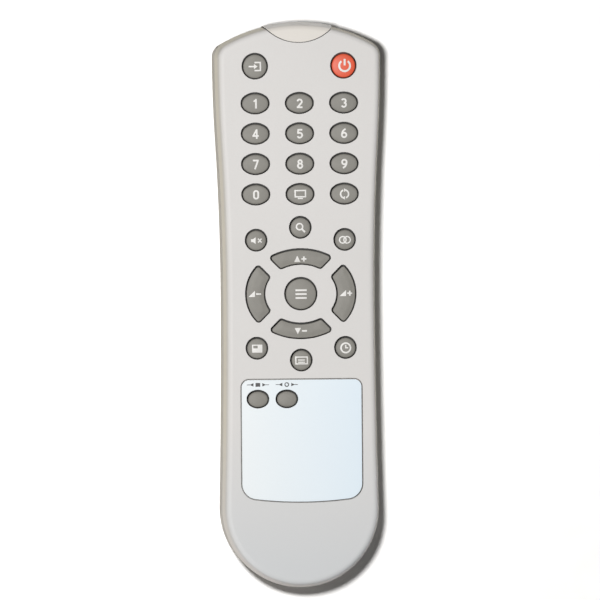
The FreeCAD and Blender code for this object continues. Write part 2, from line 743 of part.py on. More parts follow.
def make_keypad_mat():
    """The silicone sheet on the board, with a window for each key's foot and holes for the pins."""
    sheet = prism(case_outline(MAT_INSET), BOARD_TOP_Z, MAT_TOP_Z)
    sheet = sheet.common(box(-HEAD_WIDTH, HEAD_WIDTH, MAT_REAR_Y, MAT_FRONT_Y, 0, TOP_Z))
    cutters = []
    for name, key in all_keys().items():
        cutters.append(foot_prism(name, key, FOOT_GAP, 0, TOP_Z))
    return sheet.cut(Part.makeCompound(cutters + pin_holes() + hook_notches()))


def pin_holes():
    """Cutters for the pins through the mat and the board."""
    return locating_pins(PIN_CLEARANCE, 0, TOP_Z)


def hook_notches():
    """Cutters that let the hooks past the edges of the mat and the board."""
    gap = HOOK_NOTCH_GAP
    notches = []
    for y in HOOK_ROWS:
        inner = half_width(y) - HOOK_ARM_INSET - HOOK_ARM_THICKNESS - gap
        notch = box(inner, HEAD_WIDTH, y - HOOK_WIDTH / 2 - gap, y + HOOK_WIDTH / 2 + gap, 0, TOP_Z)
        notches += [notch, mirrored(notch)]
    return notches


def make_circuit_board():
    """The board that the keys press on."""
    board = prism(case_outline(BOARD_INSET), BOARD_Z, BOARD_TOP_Z)
    board = board.common(box(-HEAD_WIDTH, HEAD_WIDTH, BOARD_REAR_Y, BOARD_FRONT_Y, 0, TOP_Z))
    return board.cut(Part.makeCompound(pin_holes() + hook_notches()))


def bay_walls():
    """The battery bay with its roof, the blocks beside the door and the floor for the screw."""
    outer = BAY_HALF_WIDTH + BAY_WALL
    front = BAY_FRONT_Y + BAY_WALL
    rear = BAY_REAR_Y - BAY_WALL
    rail_out = DOOR_WIDTH / 2 + RAIL_BLOCK_WIDTH
    pocket_front = DOOR_FRONT_Y + DOOR_TONGUE_LENGTH + BAY_WALL
    base = LOWER_WALL / 2
    tub = box(-outer, outer, rear, front, BAY_LOW_Z, BOARD_Z - RIB_CLEARANCE)
    block = box(-rail_out, rail_out, rear, pocket_front, base, BAY_SHELF_Z)
    floor_top = SCREW_FLOOR_Z + SCREW_FLOOR_THICKNESS
    screw_block = box(-rail_out, rail_out, -HALF_LENGTH, rear + BAY_WALL, base, floor_top)
    inner = box(-BAY_HALF_WIDTH, BAY_HALF_WIDTH, BAY_REAR_Y, BAY_FRONT_Y, 0, BAY_ROOF_Z)
    return fused([tub, block, screw_block]).cut(inner)


def door_tongue(gap):
    """The tongue at the front of the door that reaches under the edge of the lower case, grown by gap."""
    half = DOOR_TONGUE_WIDTH / 2 + gap
    top = LOWER_WALL + gap
    low = LOWER_WALL - DOOR_TONGUE_THICKNESS - gap
    rear = DOOR_FRONT_Y - DOOR_TONGUE_OVERLAP
    return box(-half, half, rear, DOOR_FRONT_Y + DOOR_TONGUE_LENGTH + gap, low, top)


def door_rail(gap, rear):
    """The tongue along the right side of the door, from its front edge to rear, grown by gap."""
    half = DOOR_WIDTH / 2
    low = DOOR_EDGE_HEIGHT - RAIL_THICKNESS - gap
    top = DOOR_EDGE_HEIGHT + gap
    return box(half - DOOR_EDGE_WIDTH, half + RAIL_REACH + gap, rear, DOOR_FRONT_Y + gap, low, top)


def door_passage():
    """Everything that the lower case leaves free for the door and its way out."""
    half = DOOR_WIDTH / 2 + DOOR_GAP
    opening = box(-half, half, -LENGTH, DOOR_FRONT_Y + DOOR_GAP, -1, BAY_LOW_Z)
    lip = box(-half, half, -LENGTH, BAY_REAR_Y - BAY_WALL, -1, SCREW_FLOOR_Z)
    groove = door_rail(RAIL_CLEARANCE, -LENGTH)
    return [opening, lip, door_tongue(RAIL_CLEARANCE), groove, mirrored(groove)]


def contact_slots():
    """Slots in the roof of the bay for the legs of the front contacts."""
    gap = CONTACT_SEAT_GAP
    front = BAY_FRONT_Y
    back = front - CONTACT_THICKNESS - 2 * gap
    half = CONTACT_WIDTH / 4 + gap
    middles = (-CELL_PITCH / 2, CELL_PITCH / 2)
    return [box(x - half, x + half, back, front, CELL_Z, BOARD_Z) for x in middles]


def make_lower_case():
    """The lower shell: battery bay, door passage, hooks, ribs under the board and the lip at the seam."""
    skin = lower_skin()
    shell = skin.cut(lower_hollow())
    additions = [bay_walls()]
    for y in POST_RIB_ROWS:
        high = BOARD_Z - RIB_CLEARANCE
        rib = box(POST_RIB_INNER_X, HEAD_WIDTH, y, y + BAY_WALL, LOWER_WALL / 2, high)
        additions += [rib, mirrored(rib)]
    inside = lower_form(LOWER_WALL / 2)
    shell = shell.multiFuse([piece.common(inside).common(skin) for piece in additions])
    top = PARTING_Z + TONGUE_HEIGHT
    tongue = prism(case_outline(TONGUE_SETBACK), PARTING_Z - 0.5, top)
    tongue = tongue.cut(prism(case_outline(LOWER_WALL), PARTING_Z - 0.5, top))
    hooks, _ = hook_parts()
    shell = shell.multiFuse([tongue] + hooks + [mirrored(hook) for hook in hooks])
    hole = Part.makeCylinder(SCREW_HOLE_RADIUS, TOP_Z, Vector(0, SCREW_Y, 0))
    for cutter in door_passage() + contact_slots() + [hole, window_column(0)]:
        shell = shell.cut(cutter)
    return shell.removeSplitter()


def make_battery_door():
    """The door that slides off the tail: plate and lip, side rails, front tongue and grip grooves."""
    half = DOOR_WIDTH / 2
    wall = lower_skin().cut(lower_hollow())
    plate = wall.common(box(-half, half, -LENGTH, DOOR_FRONT_Y, -1, DOOR_LIP_Z))
    rail = door_rail(0, RAIL_REAR_Y)
    edge = box(half - DOOR_EDGE_WIDTH, half, RAIL_REAR_Y, DOOR_FRONT_Y, LOWER_WALL / 2, DOOR_EDGE_HEIGHT)
    door = plate.multiFuse([rail, mirrored(rail), edge, mirrored(edge), door_tongue(0)])
    length, width, depth = GRIP_GROOVE
    cuts = []
    for i in range(GRIP_ROWS):
        y = GRIP_Y - i * GRIP_PITCH
        cuts.append(box(-length / 2, length / 2, y - width / 2, y + width / 2, -1, depth))
    base_y = GRIP_Y - GRIP_ROWS * GRIP_PITCH
    corners = [Vector(-ARROW_WIDTH / 2, base_y, 0), Vector(ARROW_WIDTH / 2, base_y, 0)]
    corners += [Vector(0, base_y - ARROW_LENGTH, 0), corners[0]]
    cuts.append(prism(Part.makePolygon(corners), -1, depth))
    return door.cut(Part.makeCompound(cuts)).removeSplitter()


def make_cell(side):
    """An AAA cell: the right one has its button at the tail end, the left one at the nose end."""
    x = side * CELL_PITCH / 2
    can = CELL_LENGTH - CELL_NUB_LENGTH
    way = Vector(0, -side, 0)
    boss = CONTACT_THICKNESS + CONTACT_BOSS_HEIGHT + 2 * CONTACT_SEAT_GAP
    end_y = (BAY_REAR_Y + boss) if side > 0 else (BAY_FRONT_Y - boss)
    button_end = Vector(x, end_y, CELL_Z)
    body = Part.makeCylinder(CELL_RADIUS, can, button_end - way * CELL_LENGTH, way)
    nub_length = CELL_NUB_LENGTH + CELL_NUB_ROOT
    nub = Part.makeCylinder(CELL_NUB_RADIUS, nub_length, button_end - way * nub_length, way)
    return fused([body, nub])


def contact_plate(x, wall_y, way):
    """A flat metal plate against an end wall of the bay. way is +1 where the bay lies towards +Y."""
    y0 = wall_y + way * CONTACT_SEAT_GAP
    y1 = y0 + way * CONTACT_THICKNESS
    half = CONTACT_WIDTH / 2
    low = CELL_Z - CONTACT_HEIGHT / 2
    return box(x - half, x + half, min(y0, y1), max(y0, y1), low, low + CONTACT_HEIGHT)


def contact_boss(x, wall_y, way):
    """The raised round that the cell's button touches."""
    start = Vector(x, wall_y + way * (CONTACT_SEAT_GAP + CONTACT_THICKNESS / 2), CELL_Z)
    height = CONTACT_THICKNESS / 2 + CONTACT_BOSS_HEIGHT
    return Part.makeCylinder(CONTACT_BOSS_RADIUS, height, start, Vector(0, way, 0))


def contact_leaf(x, wall_y, way):
    """The sprung tongue that presses on the flat end of a cell: it leaves the plate's foot and bows out."""
    free = BAY_LENGTH - CELL_LENGTH - CONTACT_THICKNESS - CONTACT_BOSS_HEIGHT - 3 * CONTACT_SEAT_GAP
    root = wall_y + way * (CONTACT_SEAT_GAP + CONTACT_THICKNESS / 2)
    tip = wall_y + way * free
    low = CELL_Z - CONTACT_HEIGHT / 2
    foot = Vector(0, root, low)
    middle = Vector(0, tip, CELL_Z)
    end = Vector(0, root + (tip - root) * LEAF_END_SHARE, CELL_Z + CONTACT_HEIGHT / 2 - LEAF_END_DROP)
    outer = arc(foot, middle, end)
    centre = outer.Curve.Center
    scale = 1 - CONTACT_THICKNESS / outer.Curve.Radius
    inner = [centre + (point - centre) * scale for point in (foot, middle, end)]
    edges = [
        outer,
        Part.makeLine(end, inner[2]),
        arc(inner[2], inner[1], inner[0]),
        Part.makeLine(inner[0], foot),
    ]
    face = Part.Face(Part.Wire(edges))
    face.translate(Vector(x - LEAF_WIDTH / 2, 0, 0))
    leaf = face.extrude(Vector(LEAF_WIDTH, 0, 0))
    back = root - way * CONTACT_THICKNESS / 2
    reach = back + way * CONTACT_HEIGHT
    near = min(back, reach)
    return leaf.common(box(-HEAD_WIDTH, HEAD_WIDTH, near, near + abs(reach - back), 0, TOP_Z))


def contact_leg(x, wall_y, way):
    """The leg that runs up through the bay's roof to the board."""
    y0 = wall_y + way * CONTACT_SEAT_GAP
    y1 = y0 + way * CONTACT_THICKNESS
    half = CONTACT_WIDTH / 4
    return box(x - half, x + half, min(y0, y1), max(y0, y1), CELL_Z, BOARD_Z)


def make_front_contact(side):
    """A contact at the nose end of the bay: a plate with a boss on the left, a leaf on the right."""
    x = side * CELL_PITCH / 2
    shapes = [contact_plate(x, BAY_FRONT_Y, -1), contact_leg(x, BAY_FRONT_Y, -1)]
    shapes.append(contact_leaf(x, BAY_FRONT_Y, -1) if side > 0 else contact_boss(x, BAY_FRONT_Y, -1))
    return fused(shapes)


def make_bridge_contact():
    """The contact at the tail end of the bay, which joins the two cells."""
    x = CELL_PITCH / 2
    half = CONTACT_WIDTH / 2
    y0 = BAY_REAR_Y + CONTACT_SEAT_GAP
    rise = BRIDGE_STRAP_WIDTH / 2
    strap = box(half - x, x - half, y0, y0 + CONTACT_THICKNESS, CELL_Z - rise, CELL_Z + rise)
    shapes = [contact_plate(x, BAY_REAR_Y, 1), contact_plate(-x, BAY_REAR_Y, 1), strap]
    shapes += [contact_boss(x, BAY_REAR_Y, 1), contact_leaf(-x, BAY_REAR_Y, 1)]
    return fused(shapes)


def make_infrared_emitter():
    """The 5 mm infrared diode that lies on the board's front edge and looks out of the window."""
    z = BOARD_Z + BOARD_THICKNESS / 2
    along = Vector(0, 1, 0)
    rear = Vector(0, EMITTER_REAR_Y, z)
    rim = Part.makeCylinder(EMITTER_RIM_RADIUS, EMITTER_RIM_THICKNESS, rear, along)
    straight = EMITTER_LENGTH - EMITTER_NOSE_LENGTH
    body = Part.makeCylinder(EMITTER_RADIUS, straight, rear, along)
    shoulder = rear + along * straight
    lens = Part.makeCone(EMITTER_RADIUS, EMITTER_NOSE_RADIUS, EMITTER_NOSE_LENGTH, shoulder, along)
    shapes = [rim, body, lens]
    half = LEG_WIDTH / 2
    start = EMITTER_REAR_Y - EMITTER_LEG_REACH
    end = EMITTER_REAR_Y + EMITTER_RIM_THICKNESS / 2
    for x in (-EMITTER_LEG_PITCH / 2, EMITTER_LEG_PITCH / 2):
        shapes.append(box(x - half, x + half, start, end, BOARD_Z - LEG_WIDTH, BOARD_Z))
    return fused(shapes)


def on_board(place):
    """A place under the board as x and y."""
    x, from_nose = place
    return x, HALF_LENGTH - from_nose


def make_controller_chip():
    """The controller in its flat package with two rows of legs, under the board."""
    length, width, height = CHIP_SIZE
    x, y = on_board(CHIP_PLACE)
    top = BOARD_Z - CHIP_STAND_OFF
    body = box(x - length / 2, x + length / 2, y - width / 2, y + width / 2, top - height, top)
    leg_width, reach, thickness = CHIP_LEG_SIZE
    shapes = [body]
    for i in range(CHIP_LEGS):
        middle = x + (i - (CHIP_LEGS - 1) / 2) * CHIP_LEG_PITCH
        for side in (-1, 1):
            near = y + side * (width / 2 - LEG_OVERLAP)
            far = y + side * (width / 2 + reach)
            x0 = middle - leg_width / 2
            x1 = middle + leg_width / 2
            shapes.append(box(x0, x1, min(near, far), max(near, far), BOARD_Z - thickness, BOARD_Z))
    return fused(shapes)


def legs_below(x, y, pitch, top):
    """Two square legs from inside a component's top up to the board."""
    half = LEG_WIDTH / 2
    low = top - LEG_OVERLAP
    centres = (x - pitch / 2, x + pitch / 2)
    return [box(middle - half, middle + half, y - half, y + half, low, BOARD_Z) for middle in centres]


def make_resonator():
    """The ceramic resonator, which stands off the underside of the board on two legs."""
    width, depth, height = RESONATOR_SIZE
    x, y = on_board(RESONATOR_PLACE)
    top = BOARD_Z - RESONATOR_STAND_OFF
    body = box(x - width / 2, x + width / 2, y - depth / 2, y + depth / 2, top - height, top)
    return fused([body] + legs_below(x, y, RESONATOR_LEG_PITCH, top))


def make_capacitor():
    """The electrolytic capacitor, standing off the underside of the board."""
    x, y = on_board(CAPACITOR_PLACE)
    top = BOARD_Z - CAPACITOR_STAND_OFF
    body = Part.makeCylinder(CAPACITOR_RADIUS, CAPACITOR_LENGTH, Vector(x, y, top - CAPACITOR_LENGTH))
    return fused([body] + legs_below(x, y, CAPACITOR_LEG_PITCH, top))


def make_transistor():
    """The transistor that drives the emitter: a round with one flat side, on its legs."""
    x, y = on_board(TRANSISTOR_PLACE)
    top = BOARD_Z - TRANSISTOR_STAND_OFF
    radius = TRANSISTOR_RADIUS
    body = Part.makeCylinder(radius, TRANSISTOR_LENGTH, Vector(x, y, top - TRANSISTOR_LENGTH))
    body = body.cut(box(x - radius, x + radius, y + TRANSISTOR_FLAT, y + radius, 0, TOP_Z))
    return fused([body] + legs_below(x, y, TRANSISTOR_LEG_PITCH, top))


def make_chip_resistors():
    """The chip resistors on the underside of the board, as separate solids."""
    length, width, height = RESISTOR_SIZE
    shapes = []
    for place in RESISTOR_PLACES:
        x, y = on_board(place)
        corner = Vector(x - length / 2, y - width / 2, BOARD_Z - height)
        shapes.append(Part.makeBox(length, width, height, corner))
    return Part.makeCompound(shapes)


def make_case_screw():
    """The screw that holds the shells together at the tail, under the battery door."""
    seat = Vector(0, SCREW_Y, SCREW_FLOOR_Z)
    below = Vector(0, 0, -1)
    head = Part.makeCylinder(SCREW_HEAD_RADIUS, SCREW_HEAD_HEIGHT, seat, below)
    shank = Part.makeCylinder(SCREW_SHANK_RADIUS, SCREW_LENGTH, seat)
    return fused([head, shank])


def all_pieces():
    """Every piece as name: shape."""
    pieces = {
        "upper_case": make_upper_case(),
        "lower_case": make_lower_case(),
        "battery_door": make_battery_door(),
        "white_panel": make_white_panel(),
        "emitter_window": make_emitter_window(),
        "keypad_mat": make_keypad_mat(),
        "circuit_board": make_circuit_board(),
        "infrared_emitter": make_infrared_emitter(),
        "controller_chip": make_controller_chip(),
        "ceramic_resonator": make_resonator(),
        "capacitor": make_capacitor(),
        "drive_transistor": make_transistor(),
        "chip_resistors": make_chip_resistors(),
        "positive_contact": make_front_contact(-1),
        "negative_contact": make_front_contact(1),
        "bridge_contact": make_bridge_contact(),
        "battery_left": make_cell(-1),
        "battery_right": make_cell(1),
        "case_screw": make_case_screw(),
    }
    for name, key in all_keys().items():
        pieces[name] = make_key(name, key)
    return pieces


def main():
    os.makedirs("parts", exist_ok=True)
    for name, shape in all_pieces().items():
        shape.exportStep(os.path.join("parts", name + ".step"))
        print(f"{name}: {len(shape.Solids)} solids, {shape.Volume:.1f} mm3, valid {shape.isValid()}")


main()
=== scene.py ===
import json
import math

import bmesh
import bpy
from mathutils import Matrix, Vector
from mathutils.geometry import delaunay_2d_cdt

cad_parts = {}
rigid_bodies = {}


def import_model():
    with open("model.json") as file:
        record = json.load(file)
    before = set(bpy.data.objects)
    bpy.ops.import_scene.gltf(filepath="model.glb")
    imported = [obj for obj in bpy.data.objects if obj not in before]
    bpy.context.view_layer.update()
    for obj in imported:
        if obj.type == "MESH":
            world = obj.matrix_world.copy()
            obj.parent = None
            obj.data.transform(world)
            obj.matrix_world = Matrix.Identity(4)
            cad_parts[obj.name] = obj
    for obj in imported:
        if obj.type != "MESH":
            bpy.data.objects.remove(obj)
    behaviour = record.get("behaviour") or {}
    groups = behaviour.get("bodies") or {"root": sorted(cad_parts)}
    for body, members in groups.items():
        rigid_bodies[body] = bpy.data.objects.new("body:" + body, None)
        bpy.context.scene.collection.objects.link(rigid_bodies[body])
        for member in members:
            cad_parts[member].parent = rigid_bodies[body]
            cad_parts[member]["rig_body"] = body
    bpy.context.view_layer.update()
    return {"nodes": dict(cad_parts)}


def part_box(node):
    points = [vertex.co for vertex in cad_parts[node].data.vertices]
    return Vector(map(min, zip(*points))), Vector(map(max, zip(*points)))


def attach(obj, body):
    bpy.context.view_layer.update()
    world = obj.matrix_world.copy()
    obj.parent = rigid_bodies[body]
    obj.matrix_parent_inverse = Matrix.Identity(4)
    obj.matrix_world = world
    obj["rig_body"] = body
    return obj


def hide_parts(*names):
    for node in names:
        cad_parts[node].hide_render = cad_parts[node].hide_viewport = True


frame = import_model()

MM = 0.001

# Keys, in millimetres. Heights are over the surface that the remote lies on.
CAP_SIDE_TOP = 20.1
CAP_RIM_ROUND = 0.4
CAP_RIM_TOP = CAP_SIDE_TOP + CAP_RIM_ROUND
CAP_SUNK = 0.3  # how deep a cap's side starts in its foot
CAP_FACES_FROM = 20.2  # the model's faces above this height are the keys' tops
OVAL_DOME = 0.4
RING_DOME = 0.3
RING_SHOULDER = 1.5  # from the rim of a ring key to the flat of its top
CAP_SHIFT = (0.1, -0.14)  # off the middle of the opening: to the right and towards the tail
FOOT_LOW = 16.65
FOOT_TOP = 18.55
FOOT_MARGIN = 0.7
FOOT_CORNER = 0.5
PILL_LOW = 16.25
PILL_RADIUS = 1.9
PILL_SUNK = 0.02

# The middle of each ring key's band, from the middle of the ring
RING_KEYS = {
    "key_channel_up": (0.0, 12.5),
    "key_channel_down": (0.0, -12.5),
    "key_volume_up": (15.45, 0.0),
    "key_volume_down": (-15.45, 0.0),
}

# Ink, in millimetres
PAINT = 0.03  # how far ink stands over its surface
PAINT_ROOT = 0.05  # how far it reaches into it
CHANNEL_UP_DROP = 0.85  # from the middle of the upper ring key's band down to its sign
PANEL_TOP = 20.95
LEGEND_GAP = 1.35  # from a small key to the middle of its legend

SHARP_ANGLE = math.radians(38)

# Colours of the case and of its panel, and where they change, in metres
BODY = (0.676, 0.663, 0.652)
# Painted shade: the case darker and cooler at the tail.
BODY_SHADED_AT_TAIL = (0.598, 0.614, 0.627)
# Painted light: the flanks lighter and warmer than the top, for the light that falls on them, less so at
# the tail.
BODY_SIDE_LIT = (0.795, 0.75, 0.64)
BODY_SIDE_LIT_AT_TAIL = (0.745, 0.72, 0.69)
# Painted shade: the lower shell darker, for the shade on its steep wall.
BODY_LOWER_SHADED = (0.45, 0.42, 0.36)
LOWER_SHADE_SHARE = 0.45  # how much of that colour the lower shell takes
PARTING = 0.0155
PARTING_BLEND = 0.0001
# Painted shade: a dark line along the parting, for the shade in the seam's groove.
SEAM_SHADE_SHARE = 0.75  # how dark the line along the parting is
SEAM_FROM, SEAM_TO = 0.00006, 0.00016  # where it fades, on both sides of the parting
SIDE_BELOW, TOP_ABOVE = 0.0182, 0.0206  # heights between which the flank's colour fades out
TAIL_SHADE_BEFORE, TAIL_SHADE_AFTER = -0.088, -0.04  # the tail's colour fades from the first to the second
PANEL = (0.824, 0.872, 0.898)
PANEL_AT_RIGHT = (0.735, 0.836, 0.918)
PANEL_HALF = 0.02  # how far from the middle the change of colour ends
KEY_GREY = (0.232, 0.224, 0.203)

# The sleeve of a cell, and where its band starts as a share of the length
SLEEVE_GREEN = (0.035, 0.135, 0.085)
SLEEVE_BAND = (0.56, 0.56, 0.53)
SLEEVE_SPLIT = 0.72

# The floor: its two whites as seen, and how much of the light it throws back
FLOOR_WHITE_LOW = (1.18, 1.18, 1.18)
FLOOR_WHITE_HIGH = (1.22, 1.22, 1.22)
FLOOR_BOUNCE = (0.17, 0.17, 0.17)
FLOOR_REACH = 3.0
FLOOR_LEVEL = -0.0001
AMBIENT = (0.93, 0.96, 1.0)
AMBIENT_STRENGTH = 0.015

# Name, place, aim, size, power and colour: one lamp from above, and three weak ones along the floor
LAMPS = (
    ("key_light", (-0.212, 0.085, 0.9), (0, 0, 0), 0.1, 8.1, (1.0, 0.99, 0.975)),
    ("side_light", (0.5, -0.2, 0.025), (0.02, 0.0, 0.014), 0.03, 0.4, (0.97, 0.985, 1.0)),
    ("nose_light", (0.28, 0.62, 0.03), (0.01, 0.08, 0.014), 0.04, 0.45, (0.985, 0.99, 1.0)),
    ("tail_light", (-0.36, -0.54, 0.03), (-0.01, -0.05, 0.014), 0.04, 1.15, (1.0, 0.96, 0.935)),
)

# The camera: angles in degrees, the width of its picture, its aim and its distance in metres
TILT = 7.5  # from the left
NOD = 0.8  # from the nose
ROLL = 0.44
PICTURE = 0.2016
AIM = (0.00042, 0.0015, 0.0155)
DISTANCE = 1.5


# Node materials


class Tree:
    """Short ways to add nodes to a material or a world."""

    def __init__(self, owner, output):
        owner.use_nodes = True
        self.tree = owner.node_tree
        self.tree.nodes.clear()
        self.output = self.add(output)

    def add(self, kind, **values):
        node = self.tree.nodes.new(kind)
        for key, value in values.items():
            setattr(node, key, value)
        return node

    def join(self, source, target):
        self.tree.links.new(source, target)

    def math(self, operation, first, second=None):
        """A sum on sockets. second may be a number too."""
        node = self.add("ShaderNodeMath", operation=operation)
        self.join(first, node.inputs[0])
        if isinstance(second, (int, float)):
            node.inputs[1].default_value = second
        elif second is not None:
            self.join(second, node.inputs[1])
        return node.outputs["Value"]

    def seen(self):
        """1 for what the camera sees, mirrored and through glass too, and 0 for what lights things."""
        rays = self.add("ShaderNodeLightPath").outputs
        direct = self.math("MAXIMUM", rays["Is Camera Ray"], rays["Is Glossy Ray"])
        return self.math("MAXIMUM", direct, rays["Is Transmission Ray"])


class Nodes(Tree):
    """Short ways to add the nodes of a material."""

    def __init__(self, name):
        self.material = bpy.data.materials.new(name)
        super().__init__(self.material, "ShaderNodeOutputMaterial")
        self.place = self.add("ShaderNodeTexCoord").outputs["Object"]

    def noise(self, scale, detail=3.0, roughness=0.5):
        node = self.add("ShaderNodeTexNoise")
        node.inputs["Scale"].default_value = scale
        node.inputs["Detail"].default_value = detail
        node.inputs["Roughness"].default_value = roughness
        self.join(self.place, node.inputs["Vector"])
        return node.outputs["Fac"]

    def spread(self, source, low, high, start=0.0, end=1.0):
        """A value that goes from low to high while its source goes from start to end."""
        node = self.add("ShaderNodeMapRange")
        node.inputs["From Min"].default_value = start
        node.inputs["From Max"].default_value = end
        node.inputs["To Min"].default_value = low
        node.inputs["To Max"].default_value = high
        self.join(source, node.inputs["Value"])
        return node.outputs["Result"]

    def mix(self, factor, first, second):
        """A blend of two colours, each a tuple or a socket."""
        node = self.add("ShaderNodeMix", data_type="RGBA")
        self.join(factor, node.inputs["Factor"])
        colour_inputs = [s for s in node.inputs if s.type == "RGBA"]
        for socket, value in zip(colour_inputs, (first, second)):
            if isinstance(value, tuple):
                socket.default_value = (*value, 1.0)
            else:
                self.join(value, socket)
        return next(s for s in node.outputs if s.type == "RGBA")

    def axes(self):
        """The X, Y and Z of a place on the object."""
        node = self.add("ShaderNodeSeparateXYZ")
        self.join(self.place, node.inputs["Vector"])
        return node.outputs

    def bump(self, source, strength, distance, normal=None):
        node = self.add("ShaderNodeBump")
        node.inputs["Strength"].default_value = strength
        node.inputs["Distance"].default_value = distance
        self.join(source, node.inputs["Height"])
        if normal is not None:
            self.join(normal, node.inputs["Normal"])
        return node.outputs["Normal"]

    def soft_edges(self, radius):
        node = self.add("ShaderNodeBevel", samples=4)
        node.inputs["Radius"].default_value = radius
        return node.outputs["Normal"]

    def gap_shade_mask(self, reach, low, high):
        """Where the materials paint shade: 1 in narrow openings and seams, 0 on open faces."""
        node = self.add("ShaderNodeAmbientOcclusion", samples=6)
        node.inputs["Distance"].default_value = reach
        return self.spread(node.outputs["AO"], 1.0, 0.0, low, high)

    def surface(self, colour, roughness, normal, metallic=0.0):
        shader = self.add("ShaderNodeBsdfPrincipled")
        shader.inputs["Metallic"].default_value = metallic
        for name, source in (("Base Color", colour), ("Roughness", roughness), ("Normal", normal)):
            self.join(source, shader.inputs[name])
        self.join(shader.outputs["BSDF"], self.output.inputs["Surface"])
        return self.material


def shade(colour, factor):
    return tuple(channel * factor for channel in colour)


def flowed(n, colour):
    """A colour with the faint flow marks and the fine grain of moulded plastic."""
    flow = n.noise(22.0, detail=2.0)
    fine = n.noise(1800.0, detail=4.0, roughness=0.6)
    tint = n.mix(n.spread(flow, 0.0, 1.0, start=0.3, end=0.7), shade(colour, 0.985), shade(colour, 1.015))
    return n.mix(n.spread(fine, 0.0, 0.25, start=0.4, end=0.7), tint, shade(colour, 0.94))


def moulded(n, tint, gap_shade_colour, roughness=0.5, edge=0.00012, grain=0.05):
    """The finish of moulded plastic: painted shade in its openings, softened edges and an eroded grain."""
    # Painted shade: darker where the ambient occlusion finds narrow openings.
    tint = n.mix(n.gap_shade_mask(0.0012, low=0.15, high=0.42), tint, gap_shade_colour)
    rough = n.spread(n.noise(900.0), roughness - 0.05, roughness + 0.07)
    normal = n.bump(n.noise(5200.0, detail=2.0), grain, distance=0.00003, normal=n.soft_edges(edge))
    return n.surface(tint, rough, normal)


def plastic(name, colour, roughness=0.5, edge=0.00012, grain=0.05):
    """Moulded plastic of one colour."""
    n = Nodes(name)
    # shade(colour, 0.12) is the painted shade in its openings.
    return moulded(n, flowed(n, colour), shade(colour, 0.12), roughness, edge, grain)


def case_plastic():
    """The case, with painted light and shade: lighter, warmer flanks, a darker, cooler tail, a darker lower
    shell and a dark line along the parting.
    """
    n = Nodes("case_plastic")
    place = n.axes()
    # Painted shade: darker and cooler towards the tail, where the lamp's light is weaker.
    tail = n.spread(place["Y"], 1.0, 0.0, start=TAIL_SHADE_BEFORE, end=TAIL_SHADE_AFTER)
    top = n.mix(tail, flowed(n, BODY), BODY_SHADED_AT_TAIL)
    # Painted light: the flanks lighter and warmer than the top.
    side = n.mix(tail, BODY_SIDE_LIT, BODY_SIDE_LIT_AT_TAIL)
    upper = n.mix(n.spread(place["Z"], 1.0, 0.0, start=SIDE_BELOW, end=TOP_ABOVE), top, side)
    # Painted shade: the lower shell darker, and a dark line along the parting.
    over = n.math("SUBTRACT", place["Z"], PARTING)
    lower = n.spread(over, LOWER_SHADE_SHARE, 0.0, start=-PARTING_BLEND, end=PARTING_BLEND)
    seam = n.spread(n.math("ABSOLUTE", over), SEAM_SHADE_SHARE, 0.0, start=SEAM_FROM, end=SEAM_TO)
    tint = n.mix(seam, n.mix(lower, upper, BODY_LOWER_SHADED), shade(BODY, 0.25))
    # shade(BODY, 0.12) is the painted shade in the case's openings.
    return moulded(n, tint, shade(BODY, 0.12), roughness=0.62)


def panel_plastic():
    """The white panel, which is a little bluer on its right side."""
    n = Nodes("panel_plastic")
    right = n.spread(n.axes()["X"], 0.0, 1.0, start=-PANEL_HALF, end=PANEL_HALF)
    tint = n.mix(right, flowed(n, PANEL), PANEL_AT_RIGHT)
    # shade(PANEL, 0.12) is the painted shade round the panel.
    return moulded(n, tint, shade(PANEL, 0.12), roughness=0.34, edge=0.0001, grain=0.02)


def rubber(name, colour, roughness=0.62):
    """Silicone rubber with a matt bloom, and painted shade where it lies in narrow openings."""
    n = Nodes(name)
    cloud = n.noise(260.0)
    fine = n.noise(2600.0, detail=4.0, roughness=0.7)
    tint = n.mix(n.spread(cloud, 0.0, 1.0, start=0.3, end=0.7), shade(colour, 0.94), shade(colour, 1.06))
    tint = n.mix(n.spread(fine, 0.0, 0.5, start=0.45, end=0.75), tint, shade(colour, 1.22))
    # Painted shade: much darker in the narrow gap round each key.
    tint = n.mix(n.gap_shade_mask(0.0026, low=0.3, high=0.62), tint, shade(colour, 0.06))
    rough = n.spread(fine, roughness - 0.06, roughness + 0.08)
    normal = n.bump(n.noise(4200.0), strength=0.12, distance=0.00004)
    return n.surface(tint, rough, normal)


def paint(name, colour):
    """Printed ink, slightly uneven."""
    n = Nodes(name)
    fine = n.noise(3000.0)
    tint = n.mix(n.spread(fine, 0.0, 0.6, start=0.35, end=0.7), colour, shade(colour, 0.86))
    normal = n.bump(fine, strength=0.1, distance=0.00003)
    return n.surface(tint, n.spread(fine, 0.42, 0.56), normal)


def metal(name, colour, roughness, scale=1200.0):
    """Bare metal with faint drawn marks."""
    n = Nodes(name)
    marks = n.noise(scale, detail=5.0, roughness=0.65)
    tint = n.mix(n.spread(marks, 0.0, 1.0, start=0.3, end=0.75), colour, shade(colour, 0.72))
    rough = n.spread(marks, roughness - 0.06, roughness + 0.14)
    normal = n.bump(marks, strength=0.12, distance=0.00003)
    return n.surface(tint, rough, normal, metallic=1.0)


